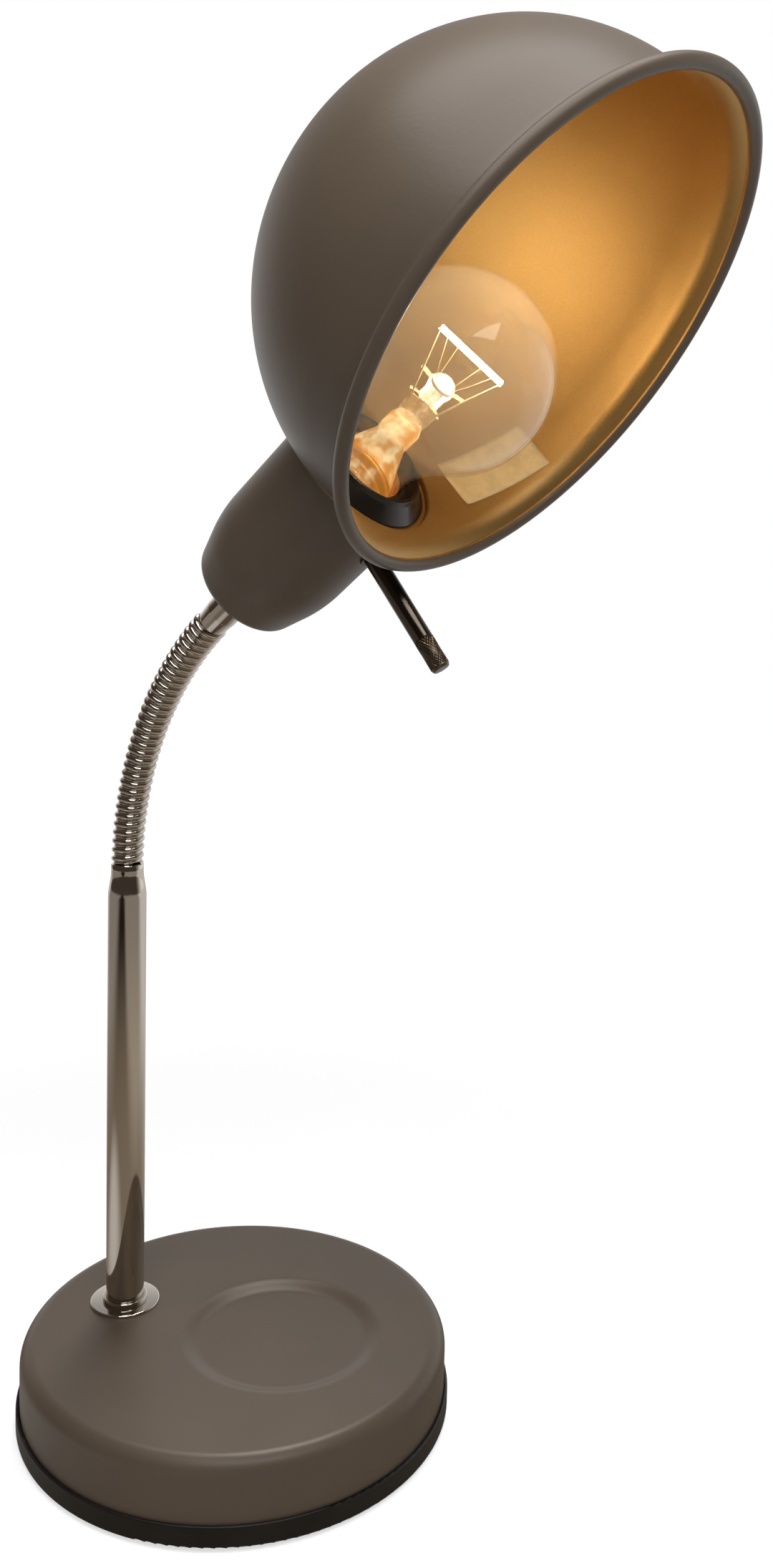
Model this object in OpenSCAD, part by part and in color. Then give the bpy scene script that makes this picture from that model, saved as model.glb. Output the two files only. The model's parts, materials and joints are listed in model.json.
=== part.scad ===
// Desk lamp: round weighted base, chrome stem, gooseneck and a domed shade on a cup.
// Millimetres, +Z up. The origin is the centre of the base on the table, with the stem behind it (-X).

/* [Base] */
// Outer diameter of the stamped base cover
base_d = 161; // [154:1:170]
// Height of the base cover's flat top above the table
base_h = 29.4; // [28:0.2:34]
// Wall of the base cover
cover_wall = 1.2; // [0.8:0.1:1.6]
// Radius of the rounded edge of the base cover
edge_r = 5.8; // [4:0.2:7]
// Wall of the black ring round the foot
ring_wall = 1.4; // [1:0.1:2.4]
// Height of the black ring above the table
ring_h = 8.6; // [7:0.1:9]
// Diameter of the dish's flat floor in the base cover
dish_d = 64.4; // [50:0.2:68]
// Width of the dish's sloping side, seen from above
dish_side = 5.8; // [4:0.2:7]
// Depth of the dish
dish_depth = 2; // [1:0.2:2.6]
// Distance of the dish's centre in front of the base's centre
dish_front = 18.4; // [14:0.2:22]
// Thickness of the tray's floor
tray_floor = 2; // [1.5:0.1:3]
// Gap between the tray and the table
tray_lift = 0.9; // [0.5:0.1:1.2]
// Diameter of the foam foot pad
pad_d = 134; // [120:1:138]
// Thickness of the foam foot pad
pad_t = 1.5; // [1.2:0.1:2]
// Diameter of the cast weight
weight_d = 138; // [136:1:142]
// Height of the wiring space between the tray's floor and the weight
wiring_h = 9.2; // [9:0.1:10]

/* [Stem] */
// Distance of the stem behind the base's centre
stem_back = 48.3; // [46:0.1:49]
// Outer diameter of the stem tube
stem_d = 14.7; // [14.4:0.1:16]
// Wall of the stem tube
stem_wall = 1; // [0.8:0.1:1.2]
// Length of the stem, from its flange to the middle of the gooseneck's first joint
stem_len = 175.9; // [120:0.1:260]
// Length of the cone that narrows the stem's top
swage_len = 10; // [8:0.5:14]
// Diameter of the flange under the stem
flange_d = 27; // [24:0.5:32]
// Thickness of the flange
flange_t = 1.1; // [0.8:0.1:2]
// Diameter of the collar round the stem's foot
collar_d = 17.4; // [16.6:0.2:20]
// Height of the collar round the stem's foot
collar_h = 1.8; // [1:0.2:3]

/* [Gooseneck] */
// Number of links; each carries two turns of the round wire
link_count = 16; // [16:1:16]
// Length of one link, from joint to joint
link_len = 6.73; // [6.6:0.01:7.1]
// Outer diameter of the wound wire
coil_d = 12.4; // [12.2:0.1:12.8]
// Diameter of the round wire
wire_d = 2; // [1.8:0.05:2.1]
// Radius of the ball in each joint
ball_r = 4.5; // [4.4:0.05:4.6]
// Clearance round the ball
joint_play = 0.05; // [0.03:0.01:0.08]
// Bore through the neck for the lead
neck_bore_d = 6; // [5.6:0.1:6.2]
// Angle through which the neck bends forward at rest
neck_bend = 54.75; // [0:0.25:56]
// Angle of the neck's plane about the stem
neck_turn = -24.6; // [-40:0.1:40]
// Angle of the head about the cup's axis, against the neck's plane
head_turn = 8.4; // [-30:0.1:30]

/* [Cup] */
// Diameter of the chrome ferrule under the cup
ferrule_d = 11.9; // [11.6:0.1:12.8]
// Distance of the cup's end face from the neck's last joint
cup_gap = 21.2; // [20:0.2:23]
// Outer diameter of the cup
cup_d = 47.1; // [46.8:0.1:50]
// Height of the cup's cone above its end face
cup_cone_h = 19.6; // [16:0.2:24]
// Angle of the cone's side with the cup's axis
cup_taper = 14.4; // [10:0.2:16]
// Radius of the bend from the cone to the straight side
cup_bend_r = 56; // [20:1:60]
// Radius of the edge round the cup's end face
cup_round = 4.8; // [3:0.1:8]
// Wall of the cup
cup_wall = 1; // [0.8:0.1:1.2]

/* [Shade] */
// Outer radius of the dome
shade_r = 72.85; // [72:0.05:75]
// Wall of the shade
shade_wall = 0.9; // [0.7:0.1:1.2]
// Straight stretch between the dome and the flare
shade_skirt = 9.8; // [8:0.2:11]
// Radius of the flare that leads to the rim
flare_r = 8; // [7.4:0.1:9]
// Width by which the rolled rim stands out beyond the dome
rim_lip = 6.25; // [5.8:0.05:7.2]
// Radius of the roll itself
roll_r = 2.1; // [1.8:0.1:2.4]
// Distance of the rolled rim's middle beyond the dome's equator
rim_out = 17.1; // [16.6:0.1:17.6]
// Depth by which the seat is pressed out of the dome, at its edge
seat_press = 2.05; // [1.6:0.05:2.6]
// Offset of the dome's centre from the cup's axis, towards the shade's mouth
shade_off = -0.7; // [-2:0.1:1]
// Angle by which the shade's mouth leans forward from square to the cup
shade_lean = 15.7; // [8:0.1:18]
// Diameter of the flat seat pressed into the shade round the lampholder
seat_d = 52; // [51:0.1:52.6]
// Height of the seat's outer face above the neck's last joint, along the cup
seat_up = 86.5; // [86.2:0.1:87]

/* [Lampholder] */
// Outer diameter of the lampholder's base inside the cup
holder_d = 32; // [31.6:0.2:33]
// Outer diameter of the contact carrier, which passes through the shade
carrier_d = 29.8; // [29.4:0.1:30.4]
// Outer diameter of the black skirt's foot
skirt_foot_d = 47; // [45:0.2:48.6]
// Inner diameter of the black skirt's mouth
skirt_mouth_d = 34; // [33:0.2:36]
// Distance of the skirt's mouth in front of the seat
skirt_h = 5.8; // [5:0.1:8]
// Inner diameter of the screw shell
shell_d = 26.62; // [26.6:0.01:26.68]
// Wall of the brass screw shell
shell_wall = 0.45; // [0.3:0.05:0.6]

/* [Switch] */
// Diameter of the switch rod
rod_d = 6.4; // [6:0.1:6.6]
// Distance of the rod's axis from the neck's last joint, along the cup
rod_up = 73; // [72:0.1:73.4]
// Distance of the rod's tip from the cup's axis
rod_reach = 66.4; // [50:0.2:76]
// Length of the knurled tip
knurl_len = 11; // [8:0.5:14]
// Number of ribs on the knurled tip
knurl_ribs = 26; // [18:1:28]
// Running clearance of the rod in its bush
rod_play = 0.05; // [0.03:0.01:0.08]

/* [Bulb] */
// Diameter of the glass bulb
bulb_d = 60; // [54:0.5:61]
// Thickness of the glass
glass_t = 0.7; // [0.5:0.1:1]
// Distance from the bulb's tip contact to the middle of the glass ball
bulb_mid = 68.3; // [66:0.1:72]
// Outer diameter of the bulb's screw cap
cap_d = 26.5; // [26.4:0.01:26.54]
// Length of the bulb's screw cap with its contact
cap_len = 26.5; // [25:0.5:27]
// Length of the filament
filament_len = 24; // [20:0.5:30]
// Angle through which the bulb is turned in the lampholder
bulb_turned = 33; // [0:1:180]

/* [Wiring and fasteners] */
// Diameter of the inner lead
lead_d = 4.4; // [4:0.1:4.6]
// Thread diameter of the hollow nipple and of the ferrule's spigot
nipple_d = 8; // [7.8:0.1:8]
// Bore of the hollow nipple
nipple_bore = 5.4; // [5.2:0.1:5.8]
// Width across flats of the hexagon nuts
nut_af = 13; // [12:0.5:14]
// Bore of the cord gland
gland_bore_d = 6.4; // [6:0.1:7]
// Radius of the circle of tray screws
tray_screw_r = 53; // [48:1:56]

/* [Hidden] */
$fn = 96;
fit = 0.1;                       // clearance of a bolt or spigot in a plain hole
slit = 0.3;                      // gap between two lengths of the one lead
contact_gap = 0.1;               // gap between the bulb and what it turns in

// Base levels
floor_z = tray_lift + tray_floor;
weight_z = floor_z + wiring_h;
cover_under = base_h - cover_wall;
dish_under = cover_under - dish_depth;
weight_top = dish_under;
flange_z = base_h;
stem_z = flange_z + flange_t;
nut_t = 5;
washer_t = 1;
nut_pocket_r = 11;
nut_pocket_h = nut_t + washer_t + 0.5;
washer_z = weight_z + nut_pocket_h - washer_t;
nipple_z = washer_z - nut_t - 1;
bush_len = 15;
nipple_top = stem_z + bush_len - 2;
screw_r = 1.7;
screw_head_r = 3.3;
screw_head_t = 1.3;
boss_r = 4;
clamp_y = 6.5;
clamp_x = stem_back + nut_pocket_r + 1;
clamp_w = 5.5;
block_x = -30;
block_len = 18;
block_w = 17;
gland_r = gland_bore_d / 2 + 1.3;
gland_collar_r = gland_r + 1.2;
gland_z = ring_h + gland_collar_r + 0.3;
gland_in = 4;
gland_out = 2.4;

// Gooseneck
bore_r = neck_bore_d / 2;
ring_r = (coil_d - wire_d) / 2;
joint_z = stem_z + stem_len;
step = neck_bend / (link_count + 1);
socket_lift = 0.4;
sleeve_r = ring_r + 0.08;
neck_r = ball_r - 0.25;
ball_cap = 1.85;
stem_short = 0.7;
stem_top = joint_z - stem_short;
swage_short = 3.4;
swage_top = joint_z - swage_short;
swage_r = coil_d / 2;
stem_r = stem_d / 2;
function neck_s(i) = i == 0 ? 0 : neck_s(i - 1) + link_len * sin(i * step);
function neck_z(i) = i == 0 ? joint_z : neck_z(i - 1) + link_len * cos(i * step);
arc_r = step == 0 ? 0 : link_len / (2 * sin(step / 2));

// Cup and lampholder, measured along the cup from the neck's last joint
lead_r = lead_d / 2;
nipple_r = nipple_d / 2;
cup_r = cup_d / 2;
cup_cone_up = cup_gap + cup_cone_h;                       // where the cone's line meets the straight side's
cup_bend_up = cup_cone_up + cup_bend_r * tan(cup_taper / 2);
cup_edge_up = cup_gap + cup_round;
cup_edge_in = cup_r + ((cup_edge_up - cup_cone_up) * sin(cup_taper) - cup_round) / cos(cup_taper);
spigot_len = 12;
spigot_top = cup_gap + spigot_len;
cup_nut_z = cup_gap + cup_wall;
holder_r = holder_d / 2;
carrier_r = carrier_d / 2;
holder_z = cup_nut_z + nut_t;
wiring_gap = 8;
holder_floor = spigot_top + wiring_gap;
ledge_deep = 31;
ledge_z = seat_up - ledge_deep;
contact_screw_off = 8.5;         // distance of the contact screws from the cup's axis
clamp_washer_t = 1.5;
holder_top = seat_up - clamp_washer_t;
shoulder_r = 20;
rim_r = shade_r + rim_lip;
shade_up = seat_up + seat_press + sqrt(pow(shade_r, 2) - pow(seat_d / 2, 2));   // height of the dome's centre
seat_in = seat_up + shade_wall;
skirt_mouth = seat_in + skirt_h;
shell_r = shell_d / 2;
shell_out = shell_r + shell_wall;
tip_lift = 7.5;
tip_z = ledge_z + tip_lift;
cap_rim = tip_z + cap_len;
carrier_top = cap_rim + 0.7;
rod_r = rod_d / 2;
case_flat = holder_r - 0.6;
case_in = case_flat + 1.2;
case_out = case_flat + 4.9;
case_wall = 1;
case_half = 7.4;
case_up = 6.8;
rotor_r = 5.4;
rotor_play = 0.1;

// Bulb
ball_mid = tip_z + bulb_mid;
bulb_r = bulb_d / 2;
cap_r = cap_d / 2;
cap_wall = 0.3;
neck_glass_r = cap_r - cap_wall;
mount_h = 22;
pinch_h = 6;
pinch_z = cap_rim + mount_h;     // foot of the flat pinch of the mount
pinch_top = pinch_z + pinch_h;
pinch_half = 5.4;
button_drop = 5.6;
filament_lift = 7.4;
button_z = ball_mid - button_drop;
filament_up = ball_mid + filament_lift;
wire_r = 0.35;

/* ---------- helpers ---------- */

// A ring: outer radius, inner radius, height, from z = 0 up
module ring(ro, ri, h) {
    difference() {
        cylinder(r = ro, h = h);
        translate([0, 0, -1]) cylinder(r = ri, h = h + 2);
    }
}

module hexagon(af, h) {
    cylinder(r = af / sqrt(3), h = h, $fn = 6);
}

// A round wire from point a to point b
module strand(a, b, r) {
    d = b - a;
    len = norm(d);
    translate(a) rotate([0, acos(d[2] / len), atan2(d[1], d[0])]) cylinder(r = r, h = len, $fn = 24);
}

module at_stem() {
    translate([-stem_back, 0, 0]) children();
}

// The plane in which the neck bends: local x leads forward from the stem
module in_neck_plane() {
    at_stem() rotate([0, 0, neck_turn]) children();
}

// Link i's own frame: its lower joint at the origin, its axis along z
module at_link(i) {
    in_neck_plane() translate([neck_s(i - 1), 0, neck_z(i - 1)]) rotate([0, i * step, 0]) children();
}

// The head's frame: the neck's last joint at the origin, the cup's axis along z, the shade's mouth towards x
module at_head() {
    in_neck_plane() translate([neck_s(link_count), 0, neck_z(link_count)]) rotate([0, neck_bend, 0])
        rotate([0, 0, head_turn]) children();
}

// The bulb's own frame: the head's, turned about the cup's axis
module at_bulb() {
    at_head() rotate([0, 0, bulb_turned]) children();
}

// The shade's frame: the dome's centre at the origin, the mouth towards z
module at_shade() {
    translate([shade_off, 0, shade_up]) rotate([0, 90 - shade_lean, 0]) children();
}

// Positions of the tray screws
module at_tray_screws() {
    for (a = [60, 180 - 45, 270]) rotate([0, 0, a]) translate([tray_screw_r, 0, 0]) children();
}

/* ---------- base ---------- */

// Half section of the cover with its walls moved in by off
module cover_section(off) {
    corner = base_d / 2 - edge_r;
    square([corner, base_h - off]);
    square([base_d / 2 - off, base_h - edge_r]);
    translate([corner, base_h - edge_r]) circle(r = edge_r - off);
}

module dish_block(drop) {
    translate([dish_front, 0, base_h - dish_depth - drop])
        cylinder(r1 = dish_d / 2, r2 = dish_d / 2 + dish_side, h = dish_depth);
}

module base_cover() {
    color([0.36, 0.33, 0.29]) difference() {
        union() {
            difference() {
                rotate_extrude() cover_section(0);
                rotate_extrude() cover_section(cover_wall);
                translate([0, 0, -1]) cylinder(r = base_d, h = floor_z + 1);
            }
            dish_block(cover_wall);
            translate([dish_front, 0, base_h - cover_wall]) cylinder(r = dish_d / 2 + dish_side, h = cover_wall);
        }
        dish_block(0);
        translate([dish_front, 0, base_h - 0.001]) cylinder(r = dish_d / 2 + dish_side, h = 1);
        at_stem() cylinder(r = nipple_r + fit, h = base_h + 1);
        translate([-base_d, 0, gland_z]) rotate([0, 90, 0]) cylinder(r = gland_r, h = base_d);
    }
}

module tray_section() {
    soft = tray_floor / 2;
    ring_out = base_d / 2 + ring_wall;
    lip = ring_wall / 2;
    translate([0, tray_lift]) square([ring_out - soft, tray_floor]);
    translate([ring_out - soft, tray_lift + soft]) circle(r = soft);
    translate([base_d / 2, tray_lift + soft]) square([ring_wall, ring_h - lip - tray_lift - soft]);
    translate([base_d / 2 + lip, ring_h - lip]) circle(r = lip);
}

module bottom_tray() {
    color([0.12, 0.11, 0.1]) difference() {
        union() {
            rotate_extrude() tray_section();
            at_tray_screws() translate([0, 0, floor_z - 1]) cylinder(r = boss_r, h = wiring_h + 1);
        }
        translate([0, 0, -1]) cylinder(r = pad_d / 2, h = pad_t + 1);
        at_tray_screws() {
            cylinder(r = screw_r + fit, h = weight_z + 1);
            cylinder(r = screw_head_r + fit, h = pad_t + screw_head_t);
        }
    }
}

module foot_pad() {
    color([0.16, 0.16, 0.16]) difference() {
        cylinder(r = pad_d / 2, h = pad_t);
        at_tray_screws() translate([0, 0, -1]) cylinder(r = screw_head_r + fit, h = pad_t + 2);
    }
}

module tray_screws() {
    color([0.7, 0.7, 0.7]) at_tray_screws() translate([0, 0, pad_t]) {
        difference() {
            cylinder(r = screw_head_r, h = screw_head_t);
            translate([-screw_head_r, -0.4, -0.1]) cube([2 * screw_head_r, 0.8, 0.7]);
        }
        cylinder(r = screw_r, h = weight_z + 7 - pad_t);
    }
}

module base_weight() {
    color([0.25, 0.25, 0.26]) difference() {
        union() {
            translate([0, 0, weight_z]) cylinder(r = weight_d / 2, h = weight_top - weight_z);
            at_stem() translate([0, 0, weight_z]) cylinder(r = nut_pocket_r + 2, h = cover_under - weight_z);
        }
        at_stem() {
            translate([0, 0, weight_z - 1]) cylinder(r = nut_pocket_r, h = nut_pocket_h + 1);
            cylinder(r = nipple_r + fit, h = base_h);
        }
        at_tray_screws() translate([0, 0, weight_z - 1]) cylinder(r = screw_r, h = 8);
        for (s = [-1, 1]) translate([-clamp_x - clamp_w / 2, s * clamp_y, weight_z - 1]) cylinder(r = 1.5, h = 7);
        translate([-weight_d / 2 - 1, -4.5, weight_z - 1]) cube([weight_d / 2 + 1 - clamp_x - clamp_w, 9, 5]);
    }
}

module stem_flange() {
    color([0.8, 0.8, 0.78]) at_stem() translate([0, 0, flange_z]) ring(flange_d / 2, nipple_r + fit, flange_t);
}

module stem_collar() {
    color([0.85, 0.85, 0.83]) at_stem() translate([0, 0, stem_z]) ring(collar_d / 2, stem_r, collar_h);
}

// The outside (off = 0) or the inside (off = stem_wall) of the stem tube
module stem_form(off) {
    translate([0, 0, stem_z]) cylinder(r = stem_r - off, h = swage_top - swage_len - stem_z);
    translate([0, 0, swage_top - swage_len])
        cylinder(r1 = stem_r - off, r2 = swage_r - off, h = swage_len);
    translate([0, 0, swage_top]) cylinder(r = swage_r - off, h = stem_top - swage_top);
}

module stem_tube() {
    color([0.78, 0.77, 0.75]) at_stem() difference() {
        stem_form(0);
        stem_form(stem_wall);
    }
}

module stem_bush() {
    color([0.75, 0.65, 0.4]) at_stem() translate([0, 0, stem_z]) ring(stem_r - stem_wall, nipple_r, bush_len);
}

module base_nipple() {
    color([0.75, 0.75, 0.72]) at_stem() translate([0, 0, nipple_z])
        ring(nipple_r, nipple_bore / 2, nipple_top - nipple_z);
}

module base_washer() {
    color([0.75, 0.75, 0.72]) at_stem() translate([0, 0, washer_z]) ring(nut_af * 0.62, nipple_r + fit, washer_t);
}

module base_nut() {
    color([0.75, 0.75, 0.72]) at_stem() translate([0, 0, washer_z - nut_t]) difference() {
        hexagon(nut_af, nut_t);
        translate([0, 0, -1]) cylinder(r = nipple_r, h = nut_t + 2);
    }
}

module cord_gland() {
    color([0.1, 0.1, 0.1]) translate([-base_d / 2, 0, gland_z]) rotate([0, 90, 0]) difference() {
        union() {
            translate([0, 0, -gland_out]) cylinder(r = gland_collar_r, h = gland_out + 0.3);
            cylinder(r = gland_r, h = gland_in);
        }
        translate([0, 0, -gland_out - 1]) cylinder(r = gland_bore_d / 2, h = gland_out + gland_in + 2);
        rotate([0, -90, 0]) translate([base_d / 2, 0, -gland_z]) gland_seat();
    }
}

// What the cover's wall takes from the gland's collar
module gland_seat() {
    intersection() {
        cylinder(r = base_d / 2, h = base_h - edge_r);
        difference() {
            translate([-base_d, -base_d, 0]) cube([2 * base_d, 2 * base_d, base_h]);
            translate([-base_d, 0, gland_z]) rotate([0, 90, 0]) cylinder(r = gland_r, h = base_d);
        }
    }
}

module cord_clamp() {
    color([0.9, 0.9, 0.88]) difference() {
        translate([-clamp_x - clamp_w, -clamp_y - 3, floor_z + 2])
            cube([clamp_w, 2 * clamp_y + 6, wiring_h - 2]);
        translate([-clamp_x - clamp_w - 1, 0, weight_z + 0.8 - gland_bore_d / 2]) rotate([0, 90, 0])
            cylinder(r = gland_bore_d / 2, h = clamp_w + 2);
        for (s = [-1, 1]) translate([-clamp_x - clamp_w / 2, s * clamp_y, 0]) cylinder(r = 1.6, h = base_h);
    }
}

module clamp_screws() {
    color([0.7, 0.7, 0.7]) for (s = [-1, 1]) translate([-clamp_x - clamp_w / 2, s * clamp_y, floor_z + 0.6]) {
        cylinder(r = 2.6, h = 1.4);
        cylinder(r = 1.5, h = wiring_h + 4);
    }
}

// Two-pole block under the weight; its poles lie side by side across y
module terminal_block() {
    color([0.92, 0.92, 0.9]) difference() {
        translate([block_x, -block_w / 2, floor_z + 1]) cube([block_len, block_w, wiring_h - 1]);
        for (s = [-1, 1]) translate([block_x, s * block_w / 4, weight_z - 4]) {
            translate([-1, 0, 0]) rotate([0, 90, 0]) cylinder(r = 1.6, h = block_len + 2);
            for (x = [0.25, 0.75]) translate([x * block_len, 0, -wiring_h]) cylinder(r = 1.4, h = wiring_h);
        }
    }
}

module terminal_screws() {
    color([0.8, 0.7, 0.45]) for (s = [-1, 1], x = [0.25, 0.75])
        translate([block_x + x * block_len, s * block_w / 4, floor_z + 1.6]) difference() {
            cylinder(r = 1.4, h = 2.2);
            translate([-1.4, -0.25, -0.1]) cube([2.8, 0.5, 0.7]);
        }
}

/* ---------- leads ---------- */

// From the terminal block under the weight, through the nipple and up the stem
module stem_lead() {
    bend = 5;
    low = floor_z + lead_r + 0.4;
    color([0.85, 0.85, 0.85]) at_stem() {
        translate([0, 0, low + bend]) cylinder(r = lead_r, h = joint_z - slit - low - bend);
        translate([bend, 0, low + bend]) rotate([90, 0, 0]) rotate([0, 0, 180])
            rotate_extrude(angle = 90) translate([bend, 0]) circle(r = lead_r, $fn = 48);
        translate([bend, 0, low]) rotate([0, 90, 0])
            cylinder(r = lead_r, h = stem_back + block_x - bend - 4.5);
        for (s = [-1, 1]) {
            strand([stem_back + block_x - 5, s, low], [stem_back + block_x - 1, s * block_w / 4, weight_z - 4], 0.8);
            strand([stem_back + block_x - 1.3, s * block_w / 4, weight_z - 4],
                [stem_back + block_x + 3, s * block_w / 4, weight_z - 4], 0.8);
        }
    }
}

// The same lead through the neck, on the arc that runs through the joints
module neck_lead() {
    gap = step == 0 ? 0 : slit / arc_r * 180 / PI;
    color([0.85, 0.85, 0.85]) in_neck_plane()
        if (step == 0) translate([0, 0, joint_z + slit]) cylinder(r = lead_r, h = link_count * link_len - 2 * slit);
        else
        translate([arc_r * cos(step / 2), 0, joint_z - arc_r * sin(step / 2)])
            rotate([90, 0, 0]) rotate([0, 0, 180 - step / 2 - link_count * step + gap])
                rotate_extrude(angle = link_count * step - 2 * gap) translate([arc_r, 0]) circle(r = lead_r, $fn = 48);
}

module head_lead() {
    color([0.85, 0.85, 0.85]) at_head() {
        translate([0, 0, slit]) cylinder(r = lead_r, h = holder_floor + 3 - slit);
        for (s = [-1, 1]) strand([0, s * 1.1, holder_floor + 2.5], [0, s * contact_screw_off, ledge_z - 3], 0.8);
    }
}

/* ---------- gooseneck ---------- */

// One turn of round wire at height z
module wire_turn(z) {
    translate([0, 0, z]) rotate_extrude() translate([ring_r, 0]) circle(r = wire_d / 2, $fn = 48);
}

// The ball that the next piece turns on, centred at the origin, with its neck down to z = -drop
module joint_ball(drop) {
    intersection() {
        sphere(r = ball_r);
        translate([0, 0, -0.9]) cylinder(r = ball_r + 1, h = 0.9 + ball_cap);
    }
    translate([0, 0, -drop]) cylinder(r = neck_r, h = drop);
}

// What a socket takes out of the piece above a joint
module joint_socket() {
    sphere(r = ball_r + joint_play);
    translate([0, 0, -ball_r]) cylinder(r = sleeve_r + 1, h = ball_r + socket_lift);
}

module neck_link(i) {
    color([0.74, 0.73, 0.72]) at_link(i) difference() {
        union() {
            translate([0, 0, socket_lift]) cylinder(r = sleeve_r, h = link_len - 1 - socket_lift);
            translate([0, 0, link_len]) joint_ball(1.2);
            wire_turn(link_len / 4);
            wire_turn(link_len * 3 / 4);
        }
        joint_socket();
        cylinder(r = bore_r, h = link_len + ball_r);
    }
}

// Plug in the stem's top that carries the neck's first joint
module neck_end_plug() {
    color([0.75, 0.65, 0.4]) at_stem() difference() {
        union() {
            intersection() {
                stem_form(stem_wall);
                translate([0, 0, swage_top - swage_len]) cylinder(r = stem_r, h = swage_len + 2.4);
            }
            translate([0, 0, joint_z]) joint_ball(1.2);
        }
        translate([0, 0, swage_top - swage_len - 1]) cylinder(r = bore_r, h = swage_len + 12);
    }
}

/* ---------- head: ferrule, cup, lampholder ---------- */

module ferrule() {
    color([0.8, 0.79, 0.77]) at_head() difference() {
        union() {
            translate([0, 0, socket_lift]) cylinder(r1 = ferrule_d / 2 - 0.6, r2 = ferrule_d / 2, h = 7 - socket_lift);
            translate([0, 0, 7]) cylinder(r = ferrule_d / 2, h = cup_gap - 7);
            cylinder(r = nipple_r, h = spigot_top);
        }
        joint_socket();
        cylinder(r = bore_r, h = spigot_top + 1);
    }
}

// Half section of the cup with its walls moved in by off: a flat end, a rounded edge, a cone that bends into
// a straight side
module cup_section(off) {
    bend = cup_bend_r - off;
    round = cup_round - off;
    foot_r = cup_edge_in + round * cos(cup_taper);
    foot_up = cup_edge_up - round * sin(cup_taper);
    cone_r = cup_r - cup_bend_r + bend * cos(cup_taper);
    cone_up = cup_bend_up - bend * sin(cup_taper);
    translate([cup_edge_in, cup_edge_up]) circle(r = round);
    polygon([
        [0, cup_gap + off], [cup_edge_in, cup_gap + off], [cup_edge_in, cup_edge_up], [foot_r, foot_up],
        [cone_r, cone_up], [cup_r - off, cup_bend_up], [cup_r - off, seat_up], [0, seat_up]
    ]);
    intersection() {
        translate([cup_r - cup_bend_r, cup_bend_up]) circle(r = bend, $fn = 720);
        translate([0, cone_up]) square([cup_d, cup_bend_up - cone_up]);
    }
}

module cup() {
    color([0.36, 0.33, 0.29]) at_head() difference() {
        rotate_extrude() cup_section(0);
        difference() {
            rotate_extrude() cup_section(cup_wall);
            translate([0, 0, cup_gap]) cylinder(r = nipple_r, h = cup_wall);
        }
        translate([0, 0, seat_up - 0.001]) cylinder(r = cup_d, h = 1);
        cylinder(r = nipple_r + fit, h = spigot_top);
        translate([0, 0, rod_up]) rotate([0, 90, 0]) cylinder(r = rod_r + 1.2, h = cup_d);
    }
}

module cup_nut() {
    color([0.75, 0.75, 0.72]) at_head() translate([0, 0, cup_nut_z]) difference() {
        hexagon(nut_af, nut_t);
        translate([0, 0, -1]) cylinder(r = nipple_r, h = nut_t + 2);
    }
}

module holder_base() {
    color([0.08, 0.08, 0.08]) at_head() difference() {
        union() {
            translate([0, 0, holder_z]) cylinder(r1 = nipple_r + 5, r2 = holder_r, h = spigot_top + 2 - holder_z);
            translate([0, 0, spigot_top + 2]) cylinder(r = holder_r, h = holder_top - spigot_top - 2);
            translate([0, 0, holder_top - 2.8]) cylinder(r = shoulder_r, h = 2.8);
        }
        translate([0, 0, holder_z - 1]) cylinder(r = nipple_r, h = spigot_top + 1 - holder_z);
        cylinder(r = bore_r, h = holder_floor + 1);
        translate([0, 0, holder_floor]) cylinder(r = carrier_r - 3, h = ledge_z - holder_floor + 1);
        translate([0, 0, ledge_z]) cylinder(r = carrier_r, h = holder_top - ledge_z + 1);
        translate([case_flat, -case_half, rod_up - case_up]) cube([holder_r, 2 * case_half, 2 * case_up]);
    }
}

module contact_carrier() {
    color([0.93, 0.92, 0.88]) at_head() translate([0, 0, ledge_z]) difference() {
        cylinder(r = carrier_r, h = carrier_top - ledge_z);
        translate([0, 0, 4]) cylinder(r = shell_out, h = carrier_top - ledge_z);
        for (s = [-1, 1]) translate([0, s * contact_screw_off, -1]) cylinder(r = 1.2, h = 6);
    }
}

module screw_shell() {
    color([0.85, 0.7, 0.35]) at_head() translate([0, 0, ledge_z + 4.8])
        ring(shell_out, shell_r, carrier_top - ledge_z - 6.8);
}

module centre_contact() {
    color([0.85, 0.7, 0.35]) at_head() translate([0, 0, ledge_z + 4]) {
        translate([-2, -2.2, 0]) cube([4, 4.4, 1]);
        translate([-3, -2.2, 1]) cube([6, 4.4, 0.6]);
        translate([0, 0, 1.6]) cylinder(r = 2, h = tip_z - ledge_z - 5.6 - contact_gap);
    }
}

// Strip that joins the shell to its terminal
module side_contact() {
    color([0.85, 0.7, 0.35]) at_head() intersection() {
        translate([0, 0, ledge_z + 4]) ring(shell_out, shell_r - 3, 0.8);
        translate([-3, 0, 0]) cube([6, shell_out + 1, seat_up]);
    }
}

module holder_screws() {
    color([0.8, 0.7, 0.45]) at_head() for (s = [-1, 1]) translate([0, s * contact_screw_off, ledge_z - 2]) {
        cylinder(r = 1.9, h = 2);
        cylinder(r = 1.2, h = 6);
    }
}

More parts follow.
